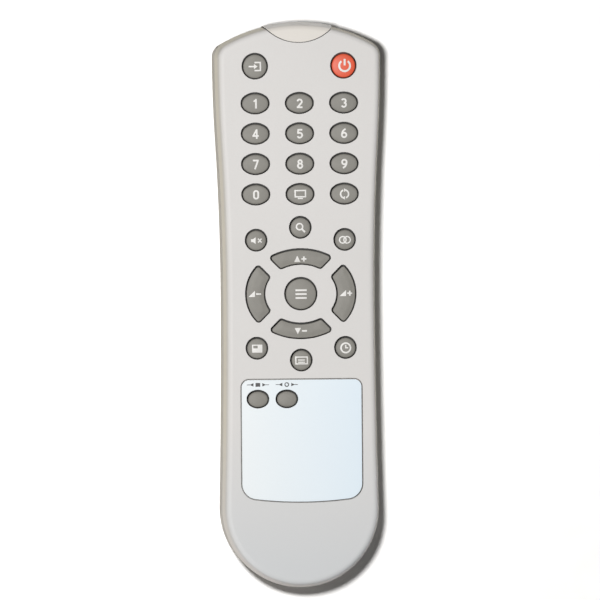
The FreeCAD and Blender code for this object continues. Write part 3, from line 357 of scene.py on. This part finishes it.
def board_laminate():
    """Paper laminate under a green lacquer, with paler tracks that show through it."""
    n = Nodes("board_laminate")
    tracks = n.add("ShaderNodeTexBrick")
    tracks.inputs["Scale"].default_value = 260.0
    tracks.inputs["Mortar Size"].default_value = 0.012
    n.join(n.place, tracks.inputs["Vector"])
    weave = n.noise(2400.0, detail=4.0)
    green = n.mix(n.spread(weave, 0.0, 1.0, start=0.3, end=0.7), (0.012, 0.10, 0.035), (0.018, 0.13, 0.045))
    tint = n.mix(tracks.outputs["Fac"], green, (0.05, 0.22, 0.08))
    normal = n.bump(tracks.outputs["Fac"], strength=0.15, distance=0.00003)
    return n.surface(tint, n.spread(weave, 0.28, 0.4), normal)


def printed_sleeve(name, colour, band, split, way):
    """The printed sleeve of a cell: one colour, with a band of another towards its button end."""
    n = Nodes(name)
    fine = n.noise(2000.0)
    edge = n.math("ADD", n.axes()["Y"], n.spread(fine, -0.00002, 0.00002))
    side = n.math("MULTIPLY", n.math("SUBTRACT", edge, split), way)
    tint = n.mix(n.spread(side, 0.0, 1.0, start=-0.00002, end=0.00002), colour, band)
    tint = n.mix(n.spread(fine, 0.0, 0.3, start=0.4, end=0.7), tint, shade(colour, 0.7))
    normal = n.bump(n.noise(500.0), strength=0.04, distance=0.00005)
    return n.surface(tint, n.spread(fine, 0.24, 0.34), normal)


finishes = {
    "case_plastic": case_plastic(),
    "panel_plastic": panel_plastic(),
    "window_plastic": plastic(
        "window_plastic", (0.70, 0.668, 0.622), roughness=0.34, edge=0.0001, grain=0.02
    ),
    "key_rubber": rubber("key_rubber", KEY_GREY),
    "power_rubber": rubber("power_rubber", (0.69, 0.095, 0.04), roughness=0.5),
    "mat_rubber": rubber("mat_rubber", KEY_GREY),
    "board_laminate": board_laminate(),
    "emitter_resin": plastic("emitter_resin", (0.20, 0.23, 0.42), roughness=0.12, edge=0.0001, grain=0.01),
    "chip_epoxy": plastic("chip_epoxy", (0.018, 0.018, 0.02), roughness=0.5),
    "resonator_coat": plastic("resonator_coat", (0.62, 0.26, 0.04), roughness=0.35),
    "capacitor_sleeve": plastic("capacitor_sleeve", (0.02, 0.03, 0.09), roughness=0.3),
    "resistor_body": plastic("resistor_body", (0.03, 0.03, 0.035), roughness=0.4),
    "contact_metal": metal("contact_metal", (0.70, 0.69, 0.66), roughness=0.24),
    "cell_can": metal("cell_can", (0.66, 0.65, 0.63), roughness=0.2, scale=700.0),
    "screw_steel": metal("screw_steel", (0.42, 0.41, 0.40), roughness=0.3),
}
white_ink = paint("white_ink", (0.80, 0.79, 0.77))
black_ink = paint("black_ink", (0.035, 0.033, 0.034))
carbon = rubber("carbon_pill", (0.02, 0.02, 0.021), roughness=0.7)

for node in frame["nodes"].values():
    for index, material in enumerate(node.data.materials):
        node.data.materials[index] = finishes[material.name.split(".")[0]]


# Meshes


def piece(name, mesh_data, materials, body, smooth=True):
    """An object from a mesh in millimetres, which rides on a body and takes a finish."""
    mesh = bpy.data.meshes.new(name)
    bmesh.ops.scale(mesh_data, vec=(MM, MM, MM), verts=mesh_data.verts)
    bmesh.ops.recalc_face_normals(mesh_data, faces=mesh_data.faces)
    mesh_data.to_mesh(mesh)
    mesh_data.free()
    for material in materials:
        mesh.materials.append(material)
    for face in mesh.polygons:
        face.use_smooth = smooth
    thing = bpy.data.objects.new(name, mesh)
    bpy.context.scene.collection.objects.link(thing)
    if smooth:
        mesh.set_sharp_from_angle(angle=SHARP_ANGLE)
    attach(thing, body)
    return thing


def body_of(node):
    return frame["nodes"][node]["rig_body"]


def box_of(node):
    """The low and the high corner of a node of the model, in millimetres."""
    return [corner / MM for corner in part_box(node)]


def slot_of(node):
    return next(s for s, m in finishes.items() if m == frame["nodes"][node].data.materials[0])


def add_loops(mesh_data, loops, close_low=True, material=0):
    """Quads between closed loops with as many points each. Returns the last loop's vertices."""
    rows = [[mesh_data.verts.new(point) for point in loop] for loop in loops]
    count = len(rows[0])
    for low, high in zip(rows, rows[1:]):
        for i in range(count):
            j = (i + 1) % count
            face = mesh_data.faces.new((low[i], low[j], high[j], high[i]))
            face.material_index = material
    if close_low:
        mesh_data.faces.new(rows[0][::-1]).material_index = material
    return rows[-1]


def add_prism(mesh_data, loop, z0, z1, chamfer=0.12, material=0):
    """A closed prism over an outline, with its edges cut."""
    inner = offset(loop, -chamfer)
    heights = ((inner, z0), (loop, z0 + chamfer), (loop, z1 - chamfer), (inner, z1))
    top = add_loops(mesh_data, [[(x, y, z) for x, y in ring] for ring, z in heights], True, material)
    mesh_data.faces.new(top).material_index = material


def offset(loop, distance):
    """A dense closed outline, moved along its normals: outwards where distance is positive."""
    count = len(loop)
    moved = []
    for i, (x, y) in enumerate(loop):
        before = Vector(loop[i - 1])
        after = Vector(loop[(i + 1) % count])
        along = (after - before).normalized()
        moved.append((x + along.y * distance, y - along.x * distance))
    return moved


def resampled(points, step):
    """A closed outline with evenly spaced points."""
    ends = points[1:] + points[:1]
    lengths = [(Vector(b) - Vector(a)).length for a, b in zip(points, ends)]
    total = sum(lengths)
    count = max(24, round(total / step))
    result = []
    index = 0
    passed = 0.0
    for k in range(count):
        target = total * k / count
        while passed + lengths[index] < target:
            passed += lengths[index]
            index += 1
        share = (target - passed) / lengths[index]
        result.append(tuple(Vector(points[index]).lerp(Vector(ends[index]), share)))
    return result


def top_outline(node):
    """The outline of a key's top face in the model, counter-clockwise, in millimetres."""
    mesh = frame["nodes"][node].data
    spots = [tuple(round(c / MM, 4) for c in v.co) for v in mesh.vertices]
    edges = {}  # the edges that only one face has, in the order of the faces
    for face in mesh.polygons:
        if face.normal.z < 0.5 or face.center.z / MM < CAP_FACES_FROM:
            continue
        corners = [spots[i] for i in face.vertices]
        for a, b in zip(corners, corners[1:] + corners[:1]):
            if (b, a) in edges:
                del edges[(b, a)]
            else:
                edges[(a, b)] = True
    following = dict(edges.keys())
    start = next(iter(following))
    loop = [start]
    while following[loop[-1]] != start:
        loop.append(following[loop[-1]])
    flat = [(x, y) for x, y, z in loop]
    area = sum(a[0] * b[1] - a[1] * b[0] for a, b in zip(flat, flat[1:] + flat[:1]))
    return flat if area > 0 else flat[::-1]


def distance_to(loop, x, y):
    """How far a point lies from an outline."""
    best = 1e9
    for (ax, ay), (bx, by) in zip(loop, loop[1:] + loop[:1]):
        dx, dy = bx - ax, by - ay
        share = ((x - ax) * dx + (y - ay) * dy) / (dx * dx + dy * dy)
        share = min(1.0, max(0.0, share))
        best = min(best, math.hypot(x - ax - share * dx, y - ay - share * dy))
    return best


class Cap:
    """The top of a key: its outline and the height of its surface."""

    def __init__(self, node):
        self.node = node
        self.seat = resampled(top_outline(node), 0.35)
        self.outline = [(x + CAP_SHIFT[0], y + CAP_SHIFT[1]) for x, y in self.seat]
        xs = [x for x, y in self.outline]
        ys = [y for x, y in self.outline]
        self.middle = ((min(xs) + max(xs)) / 2, (min(ys) + max(ys)) / 2)
        self.half = ((max(xs) - min(xs)) / 2, (max(ys) - min(ys)) / 2)
        self.inner = offset(self.outline, -CAP_RIM_ROUND)

    def height(self, x, y):
        if self.node in RING_KEYS:
            share = min(1.0, distance_to(self.inner, x, y) / RING_SHOULDER)
            return CAP_RIM_TOP + RING_DOME * share * share * (3 - 2 * share)
        u = (x - self.middle[0]) / self.half[0]
        v = (y - self.middle[1]) / self.half[1]
        return CAP_RIM_TOP + OVAL_DOME * max(0.0, 1 - u * u - v * v)

    def level(self, x, y):
        """The height at the rim, where the dome begins."""
        return CAP_RIM_TOP if self.node in RING_KEYS else self.height(x, y)


def inside(loop, x, y):
    """Whether a point lies inside an outline."""
    odd = False
    for (ax, ay), (bx, by) in zip(loop, loop[1:] + loop[:1]):
        if (ay > y) != (by > y) and x < ax + (bx - ax) * (y - ay) / (by - ay):
            odd = not odd
    return odd


def add_top(mesh_data, rim, cap, step=0.55):
    """The domed face inside the rim's vertices, over a grid of points."""
    loop = [(v.co.x, v.co.y) for v in rim]
    points = list(loop)
    columns = int(2 * cap.half[0] / step) + 1
    rows = int(2 * cap.half[1] / step) + 1
    for i in range(columns + 1):
        for j in range(rows + 1):
            x = cap.middle[0] + (i - columns / 2) * step
            y = cap.middle[1] + (j - rows / 2) * step
            if inside(loop, x, y) and distance_to(loop, x, y) > 0.4 * step:
                points.append((x, y))
    edges = [(i, (i + 1) % len(loop)) for i in range(len(loop))]
    flat, _, faces, origins, _, _ = delaunay_2d_cdt([Vector(p) for p in points], edges, [], 1, 1e-5)
    made = []
    for spot, origin in zip(flat, origins):
        if origin and origin[0] < len(loop):
            made.append(rim[origin[0]])
        else:
            made.append(mesh_data.verts.new((spot.x, spot.y, cap.height(spot.x, spot.y))))
    for face in faces:
        corners = [made[i] for i in face]
        if len(set(corners)) == 3:
            mesh_data.faces.new(corners)


def make_key(node):
    """A key with a rounded rim and a domed top, its wider foot and the carbon pill under it."""
    cap = Cap(node)
    mesh_data = bmesh.new()
    rings = [(cap.outline, FOOT_TOP - CAP_SUNK), (cap.outline, CAP_SIDE_TOP)]
    steps = 4
    for i in range(1, steps + 1):
        angle = math.pi / 2 * i / steps
        inset = CAP_RIM_ROUND * (1 - math.cos(angle))
        rings.append((offset(cap.outline, -inset), CAP_SIDE_TOP + CAP_RIM_ROUND * math.sin(angle)))
    loops = [[(x, y, z) for x, y in ring] for ring, z in rings]
    loops[-1] = [(x, y, cap.level(x, y)) for x, y, z in loops[-1]]
    rim = add_loops(mesh_data, loops)
    add_top(mesh_data, rim, cap)
    if node in RING_KEYS:
        foot = resampled(offset(cap.seat, FOOT_MARGIN), 0.5)
    else:
        low, high = box_of(node)
        foot = resampled(rounded_box(low.x, low.y, high.x, high.y, FOOT_CORNER), 0.4)
    add_prism(mesh_data, foot, FOOT_LOW, FOOT_TOP)
    pill = circle(*pill_place(cap), PILL_RADIUS)
    add_prism(mesh_data, pill, PILL_LOW, FOOT_LOW + PILL_SUNK, chamfer=0.08, material=1)
    slot_name = slot_of(node)
    materials = [finishes[slot_name], carbon]
    made = piece("cap_" + node.removeprefix("key_"), mesh_data, materials, body_of(node))
    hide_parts(node)
    return cap


def pill_place(cap):
    """The middle of a key, or of a ring key's band."""
    if cap.node not in RING_KEYS:
        return cap.middle
    low, high = box_of("key_menu")
    to_band_x, to_band_y = RING_KEYS[cap.node]
    return (low.x + high.x) / 2 + to_band_x, (low.y + high.y) / 2 + to_band_y


def circle(x, y, radius, count=32):
    angles = [2 * math.pi * i / count for i in range(count)]
    return [(x + radius * math.cos(angle), y + radius * math.sin(angle)) for angle in angles]


def rounded_box(x0, y0, x1, y1, radius, steps=5):
    """The outline of a box with round corners, counter-clockwise."""
    points = []
    centres = (
        (x1 - radius, y1 - radius, 0),
        (x0 + radius, y1 - radius, 90),
        (x0 + radius, y0 + radius, 180),
        (x1 - radius, y0 + radius, 270),
    )
    for x, y, start in centres:
        for i in range(steps + 1):
            angle = math.radians(start + 90 * i / steps)
            points.append((x + radius * math.cos(angle), y + radius * math.sin(angle)))
    return points


# Signs: each is a list of flat faces in millimetres around (0, 0)


def bar(x0, y0, x1, y1, width, step=0.5):
    """A straight stroke as a strip of quads."""
    start, end = Vector((x0, y0)), Vector((x1, y1))
    along = end - start
    side = Vector((-along.y, along.x)).normalized() * width / 2
    count = max(1, math.ceil(along.length / step))
    quads = []
    for i in range(count):
        a = start + along * i / count
        b = start + along * (i + 1) / count
        quads.append([a - side, b - side, b + side, a + side])
    return quads


def bend(x, y, radius, width, start, end, step=10.0):
    """A round stroke between two angles in degrees."""
    count = max(2, math.ceil(abs(end - start) / step))
    inner, outer = radius - width / 2, radius + width / 2
    quads = []
    for i in range(count):
        a = math.radians(start + (end - start) * i / count)
        b = math.radians(start + (end - start) * (i + 1) / count)
        corners = []
        for reach, angle in ((inner, a), (outer, a), (outer, b), (inner, b)):
            corners.append(Vector((x + reach * math.cos(angle), y + reach * math.sin(angle))))
        quads.append(corners)
    return quads


def shape(*points):
    """A filled polygon."""
    return [[Vector(p) for p in points]]


def frame_sign(width, height, line, x=0.0, y=0.0):
    """The outline of a rectangle."""
    left, right = x - width / 2, x + width / 2
    low, high = y - height / 2, y + height / 2
    corner = line / 2
    return (
        bar(left - corner, low, right + corner, low, line)
        + bar(left - corner, high, right + corner, high, line)
        + bar(left, low, left, high, line)
        + bar(right, low, right, high, line)
    )


def minus(x, y, size, line):
    return bar(x - size / 2, y, x + size / 2, y, line)


def plus(x, y, size, line):
    return minus(x, y, size, line) + bar(x, y - size / 2, x, y + size / 2, line)


def speaker(x, y, scale):
    """A small loudspeaker that looks to the right."""
    box_part = [(-1.0, -0.45), (-0.35, -0.45), (-0.35, 0.45), (-1.0, 0.45)]
    horn = [(-0.4, -0.45), (0.45, -1.1), (0.45, 1.1), (-0.4, 0.45)]
    return [[Vector((x + px * scale, y + py * scale)) for px, py in part] for part in (box_part, horn)]


def sign_faces(name):
    """The sign on a key, or nothing for the two small keys, which have a legend beside them."""
    line = 0.5
    mark = (1.15, 0, 1.7, 0.52)  # place, size and line of a plus or a minus
    if name == "power":
        return bend(0.35, 0, 1.84, 0.66, 125, 415) + bar(0.35, 0.1, 0.35, 2.3, 0.66)
    if name == "source":
        box_lines = bar(-0.2, 1.35, 2.0, 1.35, line) + bar(-0.2, -1.35, 2.0, -1.35, line)
        box_lines += bar(1.78, -1.35, 1.78, 1.35, line)
        return box_lines + bar(-2.2, 0, -0.2, 0, line) + shape((-0.4, -0.85), (0.85, 0), (-0.4, 0.85))
    if name == "display":
        return frame_sign(3.5, 2.1, 0.46, 0, 0.25) + bar(-0.9, -1.35, 0.9, -1.35, 0.42)
    if name == "recall":
        right = bend(0, 0, 1.35, 0.52, -70, 60) + shape((0.15, -1.9), (0.15, -0.72), (-0.95, -1.3))
        left = [[-point for point in face] for face in right]
        return right + left
    if name == "scan":
        return bend(-0.35, 0.35, 1.05, 0.48, 0, 360) + bar(0.35, -0.35, 1.5, -1.5, 0.62)
    if name == "mute":
        cross = bar(0.55, -0.65, 1.75, 0.65, 0.4) + bar(0.55, 0.65, 1.75, -0.65, 0.4)
        return speaker(-0.75, 0, 1.05) + cross
    if name == "sound":
        return bend(-0.72, 0, 1.1, 0.42, 0, 360) + bend(0.72, 0, 1.1, 0.42, 0, 360)
    if name == "menu":
        return sum((bar(-1.9, y, 1.9, y, 0.58) for y in (-1.3, 0, 1.3)), [])
    if name == "picture":
        low = shape((-1.75, -1.35), (1.75, -1.35), (1.75, 0.1), (-1.75, 0.1))
        top = shape((-1.75, 1.0), (1.75, 1.0), (1.75, 1.35), (-1.75, 1.35))
        left = shape((-1.75, 0.1), (-1.35, 0.1), (-1.35, 1.0), (-1.75, 1.0))
        right = shape((0.15, 0.1), (1.75, 0.1), (1.75, 1.0), (0.15, 1.0))
        return low + top + left + right
    if name == "timer":
        return bend(0, 0, 1.6, 0.55, 0, 360) + bar(0, -0.2, 0, 1.0, 0.42) + bar(-0.1, 0, 0.85, 0, 0.42)
    if name == "caption":
        lines = bar(-1.15, 0.15, 1.15, 0.15, 0.36) + bar(-1.15, -0.6, 1.15, -0.6, 0.36)
        return frame_sign(3.9, 2.3, 0.4) + lines
    if name == "channel_up":
        return shape((-2.15, -1.0), (-0.05, -1.0), (-1.1, 1.1)) + plus(*mark)
    if name == "channel_down":
        return shape((-2.15, 1.0), (-1.1, -1.1), (-0.05, 1.0)) + minus(*mark)
    if name in ("volume_up", "volume_down"):
        wedge = shape((-2.25, -0.95), (-0.1, -0.95), (-0.1, 1.1))
        return wedge + (plus(*mark) if name == "volume_up" else minus(*mark))
    return []


def legend_faces(short):
    """A square or a ring between two arrows that point away from it."""
    arrows = []
    for way in (-1, 1):
        head = [(way * 2.75, 0.0), (way * 1.5, 0.6), (way * 1.5, -0.6)]
        arrows += shape(*(head if way < 0 else head[::-1]))
        arrows += bar(way * 2.6, 0, way * 3.75, 0, 0.22)
    if short == "sound_adjust":
        return arrows + bend(0, 0, 0.62, 0.34, 0, 360)
    return arrows + frame_sign(1.25, 0.95, 0.34)


def number_faces(digit):
    """A digit from straight and round strokes, 3.2 mm high."""
    line = 0.58
    if digit == "0":
        sides = bar(-0.72, -0.6, -0.72, 0.6, line) + bar(0.72, -0.6, 0.72, 0.6, line)
        return sides + bend(0, 0.58, 0.72, line, 0, 180) + bend(0, -0.58, 0.72, line, 180, 360)
    if digit == "1":
        return bar(0.2, -1.6, 0.2, 1.6, line) + bar(0.25, 1.35, -0.62, 0.72, 0.5)
    if digit == "2":
        foot = bar(-0.98, -1.32, 0.98, -1.32, line)
        return bend(0, 0.58, 0.73, line, -38, 172) + bar(0.62, 0.2, -0.68, -1.3, line) + foot
    if digit == "3":
        return bend(-0.03, 0.64, 0.67, line, -90, 155) + bend(-0.03, -0.59, 0.73, line, -158, 90)
    if digit == "4":
        slope = bar(0.3, 1.42, -0.82, -0.6, 0.52)
        return bar(0.38, -1.6, 0.38, 1.6, line) + slope + bar(-1.08, -0.62, 1.05, -0.62, 0.54)
    if digit == "5":
        top = bar(-0.72, 1.32, 0.86, 1.32, line) + bar(-0.55, 1.4, -0.66, 0.0, 0.52)
        return top + bend(-0.05, -0.5, 0.81, line, -155, 138)
    if digit == "7":
        return bar(-0.98, 1.32, 0.98, 1.32, line) + bar(0.72, 1.25, -0.32, -1.6, line)
    if digit == "8":
        return bend(0, 0.72, 0.6, line, 0, 360) + bend(0, -0.58, 0.74, line, 0, 360)
    six = bend(0, -0.55, 0.76, line, 0, 360) + bend(1.3, -0.45, 2.06, line, 113, 182)
    if digit == "6":
        return six
    return [[-point for point in face] for face in six]


def draped(name, faces, x, y, height, material, body, slot_name, side=1, split=0.7):
    """A sign as a thin layer of ink on the surface that it follows. side is -1 under a surface."""
    corners = []
    polygons = []
    for face in faces:
        start = len(corners)
        corners += face
        polygons.append(list(range(start, start + len(face))))
    spots, _, triangles, _, _, origins = delaunay_2d_cdt(corners, [], polygons, 1, 1e-4)
    mesh_data = bmesh.new()
    verts = [mesh_data.verts.new((x + spot.x, y + spot.y, 0)) for spot in spots]
    for triangle, sources in zip(triangles, origins):
        if sources:
            mesh_data.faces.new([verts[i] for i in triangle])
    bmesh.ops.delete(mesh_data, geom=[v for v in mesh_data.verts if not v.link_faces], context="VERTS")
    for _ in range(2):  # twice, because the first cuts leave edges that are still too long
        long_edges = [e for e in mesh_data.edges if e.calc_length() > split]
        if long_edges:
            bmesh.ops.subdivide_edges(mesh_data, edges=long_edges, cuts=1)
            bmesh.ops.triangulate(mesh_data, faces=mesh_data.faces)
    for vert in mesh_data.verts:
        vert.co.z = height(vert.co.x, vert.co.y) + side * PAINT
    grown = bmesh.ops.extrude_face_region(mesh_data, geom=list(mesh_data.faces))
    for item in grown["geom"]:
        if isinstance(item, bmesh.types.BMVert):
            item.co.z -= side * (PAINT + PAINT_ROOT)
    return piece(name, mesh_data, [material], body, smooth=False)


# Keys and their signs


def panel_level(x, y):
    """The height of the panel, which is flat."""
    return PANEL_TOP


for node in sorted(name for name in frame["nodes"] if name.startswith("key_")):
    cap = make_key(node)
    short = node.removeprefix("key_")
    faces = number_faces(short) if short.isdigit() else sign_faces(short)
    if faces:
        x, y = pill_place(cap)
        if short == "channel_up":
            y -= CHANNEL_UP_DROP
        draped("sign_" + short, faces, x, y, cap.height, white_ink, body_of(node), slot_of(node))

for short in ("picture_adjust", "sound_adjust"):
    low, high = box_of("key_" + short)
    place = (low.x + high.x) / 2, high.y + LEGEND_GAP
    draped("legend_" + short, legend_faces(short), *place, panel_level, black_ink, "case", "panel_plastic")


# Cells and screw, which show when the battery door is off


def turned_loop(spot, along, radius, count=44):
    """A ring of points round an axis. spot gives the place of a point."""
    return [spot(along, radius, 2 * math.pi * i / count) for i in range(count)]


def make_cell(node, way):
    """A cell with rolled ends, a sleeve and its button. way is the button's end along Y."""
    short = node.removeprefix("battery_")
    low, high = box_of(node)
    x, z = (low.x + high.x) / 2, (low.z + high.z) / 2
    radius = (high.x - low.x) / 2
    flat_end = low.y if way > 0 else high.y
    length = high.y - low.y
    rim = length - 1.0

    def spot(along, reach, angle):
        return x + reach * math.cos(angle), flat_end + way * along, z + reach * math.sin(angle)

    # Points of the outline: their distance from the flat end and from the axis
    flat = [(0.0, 0.6), (0.0, 3.5), (0.2, 3.65), (0.24, 4.05), (0.06, 4.3)]
    sleeve = [(0.06, 4.3), (0.0, 4.6), (0.1, 5.0), (0.4, radius)]
    sleeve += [(0.4 + (rim - 0.8) * i / 6, radius) for i in range(1, 7)]
    sleeve += [(rim - 0.1, 5.0), (rim, 4.6), (rim - 0.1, 4.2), (rim - 0.4, 4.0)]
    button = [(rim - 0.4, 4.0), (rim - 0.45, 2.7), (rim - 0.2, 2.05), (rim, 1.9)]
    button += [(length - 0.25, 1.9), (length - 0.06, 1.78), (length, 1.5), (length, 0.6)]
    mesh_data = bmesh.new()
    for profile, material in ((flat, 0), (sleeve, 1), (button, 0)):
        loops = [turned_loop(spot, along, reach) for along, reach in profile]
        last = add_loops(mesh_data, loops, profile is flat, material)
    mesh_data.faces.new(last)
    bmesh.ops.remove_doubles(mesh_data, verts=mesh_data.verts, dist=1e-4)
    split = (flat_end + way * length * SLEEVE_SPLIT) * MM
    print_on_it = printed_sleeve("sleeve_" + node, SLEEVE_GREEN, SLEEVE_BAND, split, way)
    materials = [finishes["cell_can"], print_on_it]
    cell = piece("cell_" + short, mesh_data, materials, body_of(node))
    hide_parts(node)

    def under(u, v):
        """The height of the sleeve's lower face."""
        return z - math.sqrt(radius * radius - (u - x) ** 2)

    for sign, draw, share, ink in (("plus", plus, 0.86, black_ink), ("minus", minus, 0.1, white_ink)):
        faces = draw(0, 0, 3.0, 0.8)
        y = flat_end + way * length * share
        draped(f"{sign}_{short}", faces, x, y, under, ink, body_of(node), "cell_can", side=-1, split=0.4)


def make_screw():
    """The case screw, head down: a pan head with a cross recess, and a shank with its thread."""
    low, high = box_of("case_screw")
    x, y = (low.x + high.x) / 2, (low.y + high.y) / 2
    seat = low.z + 1.3
    tip = high.z
    arm, reach = 0.34, 1.2  # half the width and half the span of the recess
    pitch, root, crest = 0.9, 0.82, 1.1
    sunk = 0.1  # how deep the shank starts in the head
    around = 24  # points round the shank

    def spot(level, radius, angle):
        return x + radius * math.cos(angle), y + radius * math.sin(angle), level

    mesh_data = bmesh.new()
    head = [(seat, 1.0), (seat, 2.25), (seat - 0.12, 2.4)]
    head += [(seat - 0.75, 2.4), (seat - 1.1, 2.15), (low.z, 1.75)]
    rim = add_loops(mesh_data, [turned_loop(spot, level, radius) for level, radius in head], False)
    cross = [(arm, -arm), (reach, -arm), (reach, arm), (arm, arm), (arm, reach), (-arm, reach)]
    cross += [(-arm, arm), (-reach, arm), (-reach, -arm), (-arm, -arm), (-arm, -reach), (arm, -reach)]
    recess = [(1.0, low.z), (0.62, seat - 0.35)]
    loops = [[(x + share * u, y + share * v, level) for u, v in cross] for share, level in recess]
    mesh_data.faces.new(add_loops(mesh_data, loops, False))

    # The flat round the recess: between the head's rim and the recess's mouth
    flat = [v for v in mesh_data.verts if abs(v.co.z - low.z) < 1e-6]
    edges = []
    for group in (rim, flat[len(rim):]):
        indices = [flat.index(v) for v in group]
        edges += list(zip(indices, indices[1:] + indices[:1]))
    _, _, faces, origins, _, _ = delaunay_2d_cdt([v.co.xy for v in flat], edges, [], 0, 1e-6)
    for face in faces:
        corners = [flat[origins[i][0]] for i in face]
        middle = sum((v.co for v in corners), Vector()) / 3
        u, v = abs(middle.x - x), abs(middle.y - y)
        if min(u, v) >= arm or max(u, v) >= reach:
            mesh_data.faces.new(corners)

    levels = round((tip - seat + 2 * sunk) / (pitch / 6))
    loops = []
    for j in range(levels + 1):
        level = seat - sunk + (tip - seat + sunk) * j / levels
        taper = 0.45 + 0.55 * min(1.0, (tip - level) / 1.4)
        loop = []
        for i in range(around):
            phase = (level / pitch - i / around) % 1.0
            ridge = max(0.0, 1 - abs(phase - 0.5) * 4)
            loop.append(spot(level, (root + (crest - root) * ridge) * taper, 2 * math.pi * i / around))
        loops.append(loop)
    mesh_data.faces.new(add_loops(mesh_data, loops))
    screw = piece("screw_case", mesh_data, [finishes["screw_steel"]], body_of("case_screw"))
    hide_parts("case_screw")


make_cell("battery_left", 1)
make_cell("battery_right", -1)
make_screw()


# Floor, light and camera


def make_floor():
    """White paper that takes the shadow. It looks brighter than the light that it throws back."""
    n = Nodes("floor_paper")
    fibres = n.noise(120.0, detail=5.0)
    white = n.mix(n.spread(fibres, 0.0, 1.0, start=0.3, end=0.7), FLOOR_WHITE_LOW, FLOOR_WHITE_HIGH)
    diffuse = n.add("ShaderNodeBsdfDiffuse")
    n.join(n.mix(n.seen(), FLOOR_BOUNCE, white), diffuse.inputs["Color"])
    n.join(diffuse.outputs["BSDF"], n.output.inputs["Surface"])
    mesh = bpy.data.meshes.new("floor")
    corners = [(-1, -1), (1, -1), (1, 1), (-1, 1)]
    mesh.from_pydata([(u * FLOOR_REACH, v * FLOOR_REACH, FLOOR_LEVEL) for u, v in corners], [], [range(4)])
    mesh.materials.append(n.material)
    floor = bpy.data.objects.new("floor", mesh)
    bpy.context.scene.collection.objects.link(floor)


def make_world():
    """A weak ambient light, and white where the camera looks past the floor."""
    world = bpy.data.worlds.new("studio")
    bpy.context.scene.world = world
    n = Tree(world, "ShaderNodeOutputWorld")
    choice = n.add("ShaderNodeMixShader")
    n.join(n.seen(), choice.inputs["Fac"])
    for slot, colour, strength in ((1, AMBIENT, AMBIENT_STRENGTH), (2, (1.0, 1.0, 1.0), 1.0)):
        background = n.add("ShaderNodeBackground")
        background.inputs["Color"].default_value = (*colour, 1.0)
        background.inputs["Strength"].default_value = strength
        n.join(background.outputs["Background"], choice.inputs[slot])
    n.join(choice.outputs["Shader"], n.output.inputs["Surface"])


def make_lamp(name, place, aim, size, power, colour):
    """A round lamp at one place that is aimed at another."""
    lamp = bpy.data.lights.new(name, "AREA")
    lamp.shape = "DISK"
    lamp.size = size
    lamp.energy = power
    lamp.color = colour
    holder = bpy.data.objects.new(name, lamp)
    holder.location = place
    holder.rotation_euler = (Vector(aim) - Vector(place)).to_track_quat("-Z", "Y").to_euler()
    bpy.context.scene.collection.objects.link(holder)


def make_camera():
    """Looks straight down from far away, a little from the left and from the nose."""
    camera = bpy.data.cameras.new("camera")
    camera.type = "ORTHO"
    camera.ortho_scale = PICTURE
    camera.clip_end = 10.0
    tilt, nod, roll = (math.radians(angle) for angle in (TILT, NOD, ROLL))
    back = Vector((-math.sin(tilt), math.sin(nod) * math.cos(tilt), math.cos(nod) * math.cos(tilt)))
    along = Vector((0.0, 1.0, 0.0))
    upright = (along - back * along.dot(back)).normalized()
    right = upright.cross(back) * math.cos(roll) - upright * math.sin(roll)
    turn = Matrix((right, back.cross(right), back)).transposed()
    holder = bpy.data.objects.new("camera", camera)
    holder.matrix_world = Matrix.LocRotScale(Vector(AIM) + back * DISTANCE, turn, None)
    bpy.context.scene.collection.objects.link(holder)
    bpy.context.scene.camera = holder


make_floor()
make_world()
for lamp in LAMPS:
    make_lamp(*lamp)
make_camera()
bpy.context.scene.view_settings.view_transform = "Standard"
